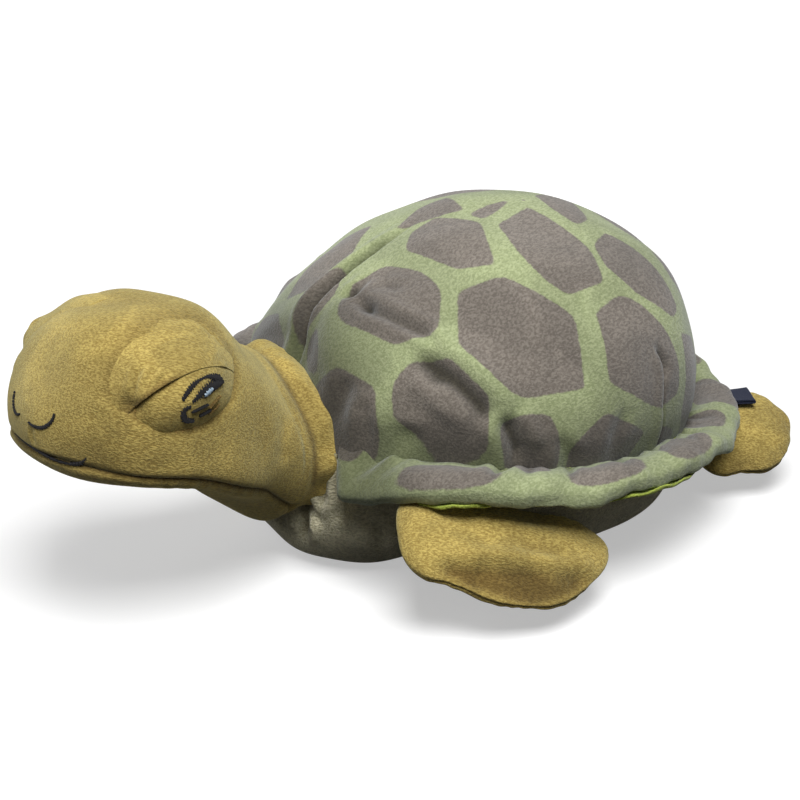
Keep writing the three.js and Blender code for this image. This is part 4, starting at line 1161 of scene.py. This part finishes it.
mouthStrokes = [
    ([(-12, -115.3, 27.8), (-9.8, -116, 28.2), (-3.8, -116.4, 28), (1.4, -116.4, 27.4),
      (6.9, -116, 26.4), (11.1, -115.5, 25.5), (14.9, -114.4, 25), (19.4, -113, 24.7)],
     [0.15, 0.25, 0.25, 0.3, 0.35, 0.3, 0.2, 0.2]),
    ([(19.4, -113, 24.9), (22.4, -111.6, 25.3), (24.4, -110.6, 26.5), (25.7, -109.8, 28.2)],
     [0.4, 0.65, 0.7, 0.4]),
]


def onHead(points):
    # the nearest place of a dense grid on the head, its relief added, and the outward direction there
    share = headShares(420)[200:, None]
    angle = np.linspace(-np.pi / 2, 1.5 * np.pi, 720)[None]
    skin = headPoint(share + 0 * angle, angle + 0 * share)
    normals = outwardNormals(skin).reshape(-1, 3)
    skin = skin.reshape(-1, 3)
    nearest = ((points[:, None] - skin[None]) ** 2).sum(-1).argmin(1)
    relief, _ = headRelief(skin[nearest], normals[nearest])
    return skin[nearest] + normals[nearest] * relief[:, None], normals[nearest]


def onMound(points, hand=left):
    # pushed from the mound's centre to its surface, and the outward direction there
    centre, half = np.array(eye["centre"]) * np.array([hand, 1, 1]), np.array(eye["half"])
    away = (points - centre) / half
    ball = away / np.linalg.norm(away, axis=-1, keepdims=True)
    normal = ball / half
    return centre + ball * half, normal / np.linalg.norm(normal, axis=-1, keepdims=True)


def spread(path, values, pitch):
    # a path and its half widths, cut again into even short steps
    path, values = np.asarray(path, float), np.asarray(values, float)
    place = np.linspace(0, 1, 300)
    dense = np.stack([station(path[:, k], place) for k in range(3)], -1)
    length = np.concatenate([[0], np.cumsum(np.linalg.norm(np.diff(dense, axis=0), axis=1))])
    count = max(int(length[-1] / pitch), 2)
    even = np.interp(np.linspace(0, length[-1], count), length, place)
    return np.stack([station(path[:, k], even) for k in range(3)], -1), station(values, even)


def satinLines(strokes, surface):
    # for each stitch a short arch across the stroke, its ends sunk into the cloth
    made = []
    lean = math.radians(stitch["lean"])
    for path, halfWidths in strokes:
        middle, wide = spread(path, halfWidths, stitch["pitch"])
        middle, normal = surface(middle)
        forward = np.gradient(middle, axis=0)
        forward /= np.maximum(np.linalg.norm(forward, axis=-1, keepdims=True), 1e-9)
        across = np.cross(normal, forward)
        across = across * math.cos(lean) + forward * math.sin(lean)
        uneven = 1 + stitch["ragged"] * np.sin(np.arange(len(middle)) * 2.4 + len(middle))
        wide = wide * uneven
        place = np.linspace(-1, 1, stitch["along"])[None, :, None]
        rise = stitch["lift"] - (stitch["lift"] + stitch["sink"]) * np.abs(place) ** 4
        made.append(middle[:, None] + across[:, None] * place * wide[:, None, None] + normal[:, None] * rise)
    return np.concatenate(made)


def threadMesh(name, lines, material, radius):
    # a closed round thread along each line, all of one length in points
    forward = np.gradient(lines, axis=1)
    forward /= np.maximum(np.linalg.norm(forward, axis=-1, keepdims=True), 1e-9)
    up = np.array([0.31, 0.27, 0.91])
    first = np.cross(forward, up)
    first /= np.maximum(np.linalg.norm(first, axis=-1, keepdims=True), 1e-9)
    second = np.cross(first, forward)
    around = np.linspace(0, 2 * np.pi, stitch["sides"], endpoint=False)[None, None, :, None]
    spokes = np.cos(around) * first[:, :, None] + np.sin(around) * second[:, :, None]
    rings = lines[:, :, None] + radius * spokes
    count, steps, sides = rings.shape[:3]
    base = (np.arange(count) * steps * sides)[:, None, None]
    row, column = np.arange(steps - 1)[None, :, None] * sides, np.arange(sides)[None, None]
    following = (column + 1) % sides
    quads = np.stack([base + row + column, base + row + following, base + row + sides + following,
                      base + row + sides + column], -1).reshape(-1, 4)
    start = (base[:, 0] + np.arange(sides)[::-1][None]).reshape(-1)
    end = (base[:, 0] + (steps - 1) * sides + np.arange(sides)[None]).reshape(-1)
    sizes = np.concatenate([np.full(len(quads), 4), np.full(2 * count, sides)])
    piece = makeMesh(name, fromHead(rings.reshape(-1, 3)), np.concatenate([quads.ravel(), start, end]), sizes)
    piece.data.materials.append(material)
    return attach(piece, "head")


for side, hand in (("left", left), ("right", right)):
    place = (lambda points, hand=hand: onMound(points, hand))
    black = satinLines(mirrorLines(eyeStrokes, hand), place)
    threadMesh(side + "EyeStitches", black, blackThread, stitch["radius"])
    glint = satinLines(mirrorLines(eyeGlint, hand), place)
    glint = glint + (glint - np.array(eye["centre"]) * np.array([hand, 1, 1])) * stitch["glintOut"]
    threadMesh(side + "EyeGlint", glint, paleThread, stitch["radius"])
    tan = satinLines(mirrorLines(eyeTanStrokes, hand), place)
    threadMesh(side + "EyeTanStitches", tan, brownThread, stitch["tanRadius"])
# line of the running stitches round each eye mound
seamRun = [
    (28.2, -42.6, 56.5), (33.0, -47.0, 52.7), (39.2, -52.8, 45.6), (42.4, -59.3, 40.2), (43.9, -66.8, 36.8),
    (44.2, -73.0, 35.6), (43.6, -79.6, 35.7), (42.4, -84.5, 37.4), (40.6, -89.0, 40.2), (38.6, -91.9, 43.4),
    (36.1, -94.0, 47.2), (33.3, -94.6, 52.0), (30.5, -93.2, 57.0), (27.5, -90.9, 61.5),
]
for side, hand in (("left", left), ("right", right)):
    middle, _ = spread(mirrorPath(seamRun, hand), np.zeros(len(seamRun)), stitch["runPitch"])
    middle, normal = onHead(middle)
    # groups of four short steps make one stitch, then two steps pass under the cloth
    steps = np.arange(0, len(middle) - 4, 6)[:, None] + np.arange(4)[None]
    rise = np.array([-stitch["runSink"], stitch["runLift"], stitch["runLift"], -stitch["runSink"]])
    runs = middle[steps] + normal[steps] * rise[None, :, None]
    threadMesh(side + "SeamStitches", runs, tanThread, stitch["runRadius"])
threadMesh("noseStitches", satinLines(noseStrokes, onHead), blackThread, stitch["radius"])


def inSeam(points):
    # on the head, sunk a little into the groove of the jaw seam
    place, normal = onHead(points)
    return place - stitch["seamSink"] * normal, normal


threadMesh("mouthStitches", satinLines(mouthStrokes, inSeam), blackThread, stitch["radius"])
print("turtle: embroidery made")

# Flippers: an upper and an under panel sewn round the edge and stuffed

flipperShares = {"width": [0.86, 0.98, 1, 0.88, 0.6], "thickness": [0.72, 0.96, 1, 0.88, 0.6]}
puffing = {"flat": 0.6, "voxel": 4.0, "pressure": 4.0, "frames": 20, "most": 9.0, "spread": 2.6, "shrink": 0.04}
frontFlipper = {
    "shoulder": (90.5, -74, 38.6), "tip": (108, 3, 20), "faceUp": (0.5, -0.2, 1), "root": 16, "width": 51,
    "thickness": 25, "sweep": 7, "levels": 110, "around": 96, "groove": 1.2, "grooveWidth": 1.4,
    "pucker": 0.16, "puckerStep": 7.5, "lump": 0.6, "fill": 0.7, "edgeDrop": 3.6,
    "folds": [
        ([(2, 8, 12), (5, 24, 12), (7, 46, 9), (12, 62, 6)], 4.2, 1.7, 0.5, 0.25),
        ([(20, 0, 5), (12, 10, 10), (4, 14, 12)], 2.6, 1.4, 0.5, 0.3),
        ([(-16, 20, 9), (-10, 34, 11), (-8, 50, 10)], 4.0, 1.0, 0.45, 0.35),
        ([(6, 20, 12), (10, 28, 12), (18, 30, 9)], 2.4, 1.0, 0.5, 0.35),
    ],
}
rearFlipper = {
    "shoulder": (53, 98, 23.5), "tip": (55, 139, 29), "faceUp": (0.65, 0, 1), "root": 14, "width": 43,
    "thickness": 25, "sweep": 0, "levels": 80, "around": 84, "groove": 1.1, "grooveWidth": 1.4,
    "pucker": 0.15, "puckerStep": 7, "lump": 0.6, "fill": 0.75, "edgeDrop": 1.2,
    "folds": [
        ([(-8, 0, 10), (0, 6, 11), (9, 8, 10)], 3.0, 1.2, 0.4, 0.35),
        ([(10, 4, 9), (12, 16, 9), (10, 26, 8)], 3.2, 1.2, 0.4, 0.35),
    ],
}


# where the turned down outer edge begins and ends: across the flipper, along it and above its seam
edgeTurn = {
    "across": (12, 19), "above": (0, 5), "fromRoot": (-8, 8), "toTip": (78, 58),
    "ridge": 0.25, "ridgeAt": 11, "ridgeWidth": 3,
}


def puffed(rings, poles):
    # stuffing by simulation: a coarse copy of the flat cover is blown up from inside for a few frames, and
    # every point of the fine cover takes the mean move of the coarse points near it that face the same way
    flat = skinRings("flatCover", rings, poles)
    flat.modifiers.new("coarse", "REMESH")
    flat.modifiers["coarse"].mode, flat.modifiers["coarse"].voxel_size = "VOXEL", puffing["voxel"] * millimetre
    coarse = bpy.data.meshes.new_from_object(flat.evaluated_get(bpy.context.evaluated_depsgraph_get()))
    puff = bpy.data.objects.new("puff", coarse)
    bpy.context.scene.collection.objects.link(puff)
    bpy.data.objects.remove(flat)
    count = len(coarse.vertices)
    before, facing, after = (np.zeros(count * 3, np.float32) for _ in range(3))
    coarse.vertices.foreach_get("co", before)
    coarse.vertices.foreach_get("normal", facing)
    cloth = puff.modifiers.new("cloth", "CLOTH")
    cloth.settings.use_pressure, cloth.settings.uniform_pressure_force = True, puffing["pressure"]
    cloth.settings.shrink_min = puffing["shrink"]
    cloth.settings.effector_weights.gravity = 0
    for step in range(1, puffing["frames"] + 1):
        bpy.context.scene.frame_set(step)
    blown = puff.evaluated_get(bpy.context.evaluated_depsgraph_get()).to_mesh()
    blown.vertices.foreach_get("co", after)
    moves = (after - before).reshape(-1, 3) / millimetre
    size = np.linalg.norm(moves, axis=1, keepdims=True)
    moves *= np.minimum(1, puffing["most"] / np.maximum(size, 1e-6))
    places, facing = before.reshape(-1, 3) / millimetre, facing.reshape(-1, 3)
    bpy.data.objects.remove(puff)
    bpy.context.scene.frame_set(1)
    normals = outwardNormals(rings)
    apart = ((rings[..., None, :] - places) ** 2).sum(-1)
    agree = np.maximum((normals[..., None, :] * facing).sum(-1), 0.02) ** 2
    share = np.exp(-apart / (2 * puffing["spread"] ** 2)) * agree + 1e-12
    print("turtle: a flipper puffed up by simulation, furthest move", round(float(size.max()), 1), "mm")
    return rings + (share[..., None] * moves).sum(-2) / share.sum(-1)[..., None]


def flipper(name, look, hand, body):
    # closed rings from the sewn root to the tip, puffed up, then folds, gathers and the groove of the seam
    flip = np.array([hand, 1, 1])
    shoulder, tip, faceUp = (np.array(look[k], float) * flip for k in ("shoulder", "tip", "faceUp"))
    length = np.linalg.norm(tip - shoulder)
    along = (tip - shoulder) / length
    side = np.cross(along, faceUp)
    side /= np.linalg.norm(side)
    face = np.cross(side, along)
    # half width and half thickness against the place along it: a quarter round at the root, then the blade
    dense = np.linspace(0, 1, 1500)
    end = (1 - dense ** 5) ** 0.5
    halfWidth = end * look["width"] * station(flipperShares["width"], dense) / 2
    halfThick = end * look["thickness"] * station(flipperShares["thickness"], dense) / 2
    start = np.linspace(0, np.pi / 2, 300, endpoint=False)
    places = np.concatenate([-look["root"] * np.cos(start), length * dense])
    wide = np.concatenate([halfWidth[0] * np.sin(start) ** 0.8, halfWidth])
    thick = np.concatenate([halfThick[0] * np.sin(start), halfThick])
    sweep = np.concatenate([0 * start, look["sweep"] * np.sin(np.pi * dense)])
    shares = evenShares(np.stack([wide, places], -1), look["levels"] + 2)[1:-1]
    index = np.linspace(0, 1, len(places))
    places, wide, thick, sweep = (np.interp(shares, index, v)[:, None] for v in (places, wide, thick, sweep))
    angle = np.linspace(0, 2 * np.pi, look["around"], endpoint=False)[None]
    angle = angle + 0.22 * np.sin(2 * angle)
    across, up = np.cos(angle), signedPower(np.sin(angle), 0.9)
    rings = np.stack([hand * sweep + wide * across, places + 0 * across, thick * up], -1)
    fromSeam = np.abs(rings[..., 2])
    rings = puffed(rings * np.array([1, 1, puffing["flat"]]),
                   [(0, -look["root"], 0), (0, length, 0)])
    normals = outwardNormals(rings)
    onEdge = smoothStep(-look["root"], 4, places)
    groove = hump(fromSeam, look["grooveWidth"])
    seed = 50 + int(10 * look["root"]) + hand
    relief = folds(rings, normals, mirrorLines(look["folds"], hand)) + look["lump"] * lumps(rings, 24, seed)
    # the upper face turns down towards its outer edge, past a low ridge
    outward = hand * rings[..., 0]
    onTop = smoothStep(*edgeTurn["above"], rings[..., 2]) * smoothStep(*edgeTurn["fromRoot"], rings[..., 1])
    ridge = edgeTurn["ridge"] * hump(outward - edgeTurn["ridgeAt"], edgeTurn["ridgeWidth"])
    down = smoothStep(*edgeTurn["across"], outward) - ridge
    relief = relief - look["edgeDrop"] * down * onTop * smoothStep(*edgeTurn["toTip"], rings[..., 1])
    turnAlong = places * 2 * np.pi / look["puckerStep"] + 2 * np.sin(places * 0.21) + 1.5 * (across > 0)
    relief = relief + look["pucker"] * np.sin(turnAlong) * hump(fromSeam - 3, 3.4) * onEdge
    # painted shade in hollows and along the groove of the seam
    paintedShade = np.maximum(np.clip(-relief / 3, 0, 1), 0.8 * groove * onEdge)
    relief = relief - look["groove"] * groove * onEdge
    shaped = rings + normals * relief[..., None]
    poles = shaped[[0, -1]].mean(1)
    basis = np.stack([side, along, face])
    piece = skinRings(name, shaped @ basis + shoulder, poles @ basis + shoulder)
    setField(piece, "paintedShade", paintedShade)
    nodes = [f"{body}_{part}" for part in ("upper", "underside", "stuffing")]
    return finish(piece, skinPlush, body, nodes)


for word, hand in (("left", left), ("right", right)):
    for place, look in (("front", frontFlipper), ("rear", rearFlipper)):
        body = f"{place}_{word}_flipper"
        flipper(f"{place}{word.capitalize()}Flipper", look, hand, body)
print("turtle: flippers made")

# Sewn tab: a ribbon folded over, its cut ends in the seam of the brim

tab = {
    "width": 14, "length": 11, "leaf": 0.7, "fold": 0.5, "bearing": 68, "start": -1.7, "beyond": 1.2,
    "curl": 0.5, "across": 26,
}


def sewnTab():
    # the ribbon's section, out along one leaf, round the fold and back, then the same way inside
    thickness = tab["leaf"] * 2 + tab["fold"]
    turn = np.linspace(-np.pi / 2, np.pi / 2, 12)
    reach = tab["length"] - thickness / 2
    leaf = np.linspace(0, reach, 10)
    outer, inner = thickness / 2, tab["fold"] / 2
    loop = np.concatenate([
        np.stack([leaf, leaf * 0 - outer], -1),
        np.stack([reach + outer * np.cos(turn), outer * np.sin(turn)], -1),
        np.stack([leaf[::-1], leaf * 0 + outer], -1), np.stack([leaf, leaf * 0 + inner], -1),
        np.stack([reach + inner * np.cos(turn), -inner * np.sin(turn)], -1),
        np.stack([leaf[::-1], leaf * 0 - inner], -1)])
    wide = np.linspace(-0.5, 0.5, tab["across"])[:, None] * tab["width"]
    bearing = math.radians(tab["bearing"])
    edge, _, _ = brimPoint(np.array(bearing), np.array(0.0), 0.0, tab["beyond"])
    _, normal = planPoint(np.array(bearing))
    droop = math.radians(brim["droop"] - math.sin(bearing) * (brim["droop"] + brim["rearLift"]))
    out = np.array([normal[0] * math.cos(droop), normal[1] * math.cos(droop), -math.sin(droop)])
    beside = np.array([-normal[1], normal[0], 0])
    up = -np.cross(beside, out)
    curl = tab["curl"] * np.sin(wide / tab["width"] * 3) * (loop[None, :, 0] / tab["length"]) ** 2
    rings = (edge + out * tab["start"] + loop[None, :, 0, None] * out
             + (loop[None, :, 1] + curl)[..., None] * up + wide[..., None] * beside)
    placed = fromShell(rings)
    count = placed.shape[1]
    row, column = np.arange(tab["across"] - 1)[:, None] * count, np.arange(count)[None]
    quads = np.stack([row + column, row + (column + 1) % count, row + count + (column + 1) % count,
                      row + count + column], -1).reshape(-1, 4)
    half = count // 2
    k = np.arange(half - 1)
    cap = np.stack([k, k + 1, count - 2 - k, count - 1 - k], -1)
    last = (tab["across"] - 1) * count
    faces = np.concatenate([quads, cap[:, ::-1], cap + last])
    piece = makeMesh("sewnTab", placed.reshape(-1, 3), faces.ravel(), np.full(len(faces), 4), smooth=False)
    return finish(piece, navyRibbon, "body", ["sewn_tab"])


sewnTab()
print("turtle: tab made")

# Camera at the photograph's viewing angle; distances here are in metres

view = {"azimuth": 60, "elevation": 24, "distance": 0.85, "target": (0.012, -0.042, 0.060), "lens": 90,
        "sensor": 36}


def placeCamera():
    # set back from the target along the line of sight, level with the horizon
    azimuth, elevation = math.radians(view["azimuth"]), math.radians(view["elevation"])
    back = np.array([math.sin(azimuth) * math.cos(elevation), -math.cos(azimuth) * math.cos(elevation),
                     math.sin(elevation)])
    lens = bpy.data.cameras.new("camera")
    lens.lens, lens.sensor_width = view["lens"], view["sensor"]
    camera = bpy.data.objects.new("camera", lens)
    bpy.context.scene.collection.objects.link(camera)
    camera.location = np.array(view["target"]) + back * view["distance"]
    camera.rotation_euler = (math.pi / 2 - elevation, 0, azimuth)
    bpy.context.scene.camera = camera


# Plain soft studio: a broad lamp above the turtle's left, a weaker, lower one at its right front, a pale floor

studio = {
    "key": {"place": (0.62, -0.24, 1.36), "size": 0.8, "power": 28.0},
    "front": {"place": (-0.5, -0.9, 0.7), "size": 0.8, "power": 4.0},
    "ambient": 0.095, "floorBounce": 0.04, "floorShown": 0.6, "floorGlow": 0.44, "floorNear": (0.22, 0.75),
    "floorSize": 6.0, "aim": (0, -0.02, 0.06),
}


def addLamp(name, look):
    # a square lamp turned so that it faces the turtle
    lamp = bpy.data.lights.new(name, "AREA")
    lamp.shape, lamp.size, lamp.energy = "SQUARE", look["size"], look["power"]
    lit = bpy.data.objects.new(name, lamp)
    bpy.context.scene.collection.objects.link(lit)
    lit.location = look["place"]
    aim = np.array(studio["aim"]) - np.array(look["place"])
    flat = math.hypot(aim[0], aim[1])
    lit.rotation_euler = (math.atan2(flat, -aim[2]), 0, math.atan2(aim[0], -aim[1]) + math.pi)


def seenWhite(tree):
    # 1 for rays that show the background: from the camera, in gloss or through glass
    path = addNode(tree, "ShaderNodeLightPath")
    seen = maths(tree, "ADD", path.outputs["Is Camera Ray"], path.outputs["Is Glossy Ray"], clamp=True)
    return maths(tree, "ADD", seen, path.outputs["Is Transmission Ray"], clamp=True)


def makeStudio():
    # two lamps, a dim world that shows white, and a floor that takes the shadow
    for name in ("key", "front"):
        addLamp(name + "Lamp", studio[name])
    world = bpy.data.worlds.new("studioWorld")
    bpy.context.scene.world = world
    world.use_nodes = True
    tree = world.node_tree
    strength = ramp(tree, seenWhite(tree), 0.0, 1.0, studio["ambient"], 1.0, soft=False)
    feed(tree, tree.nodes["Background"].inputs["Color"], (1, 1, 1, 1))
    feed(tree, tree.nodes["Background"].inputs["Strength"], strength)
    material = bpy.data.materials.new("paleFloor")
    material.use_nodes = True
    tree = material.node_tree
    tree.nodes.clear()
    seen = seenWhite(tree)
    shade = ramp(tree, seen, 0.0, 1.0, studio["floorBounce"], studio["floorShown"], soft=False)
    tone = addNode(tree, "ShaderNodeCombineXYZ")
    for socket in tone.inputs:
        feed(tree, socket, shade)
    matt = addNode(tree, "ShaderNodeBsdfDiffuse")
    feed(tree, matt.inputs["Color"], tone.outputs[0])
    glow = addNode(tree, "ShaderNodeEmission")
    # the floor runs to white away from the object and keeps its shadow near it
    away = addNode(tree, "ShaderNodeVectorMath", operation="LENGTH")
    feed(tree, away.inputs[0], addNode(tree, "ShaderNodeTexCoord").outputs["Object"])
    lit = ramp(tree, away.outputs["Value"], *studio["floorNear"], studio["floorGlow"], 1.0)
    feed(tree, glow.inputs["Strength"], maths(tree, "MULTIPLY", seen, lit))
    both = addNode(tree, "ShaderNodeAddShader")
    feed(tree, both.inputs[0], matt.outputs[0])
    feed(tree, both.inputs[1], glow.outputs[0])
    feed(tree, addNode(tree, "ShaderNodeOutputMaterial").inputs["Surface"], both.outputs[0])
    half = studio["floorSize"] / 2 / millimetre
    corners = np.array([(-half, -half, 0), (half, -half, 0), (half, half, 0), (-half, half, 0)], float)
    floor = makeMesh("studioFloor", corners, np.arange(4), np.array([4]), smooth=False)
    floor.data.materials.append(material)


placeCamera()
makeStudio()
bpy.context.scene.view_settings.view_transform = "Standard"
print("turtle: camera, lamps and floor set")
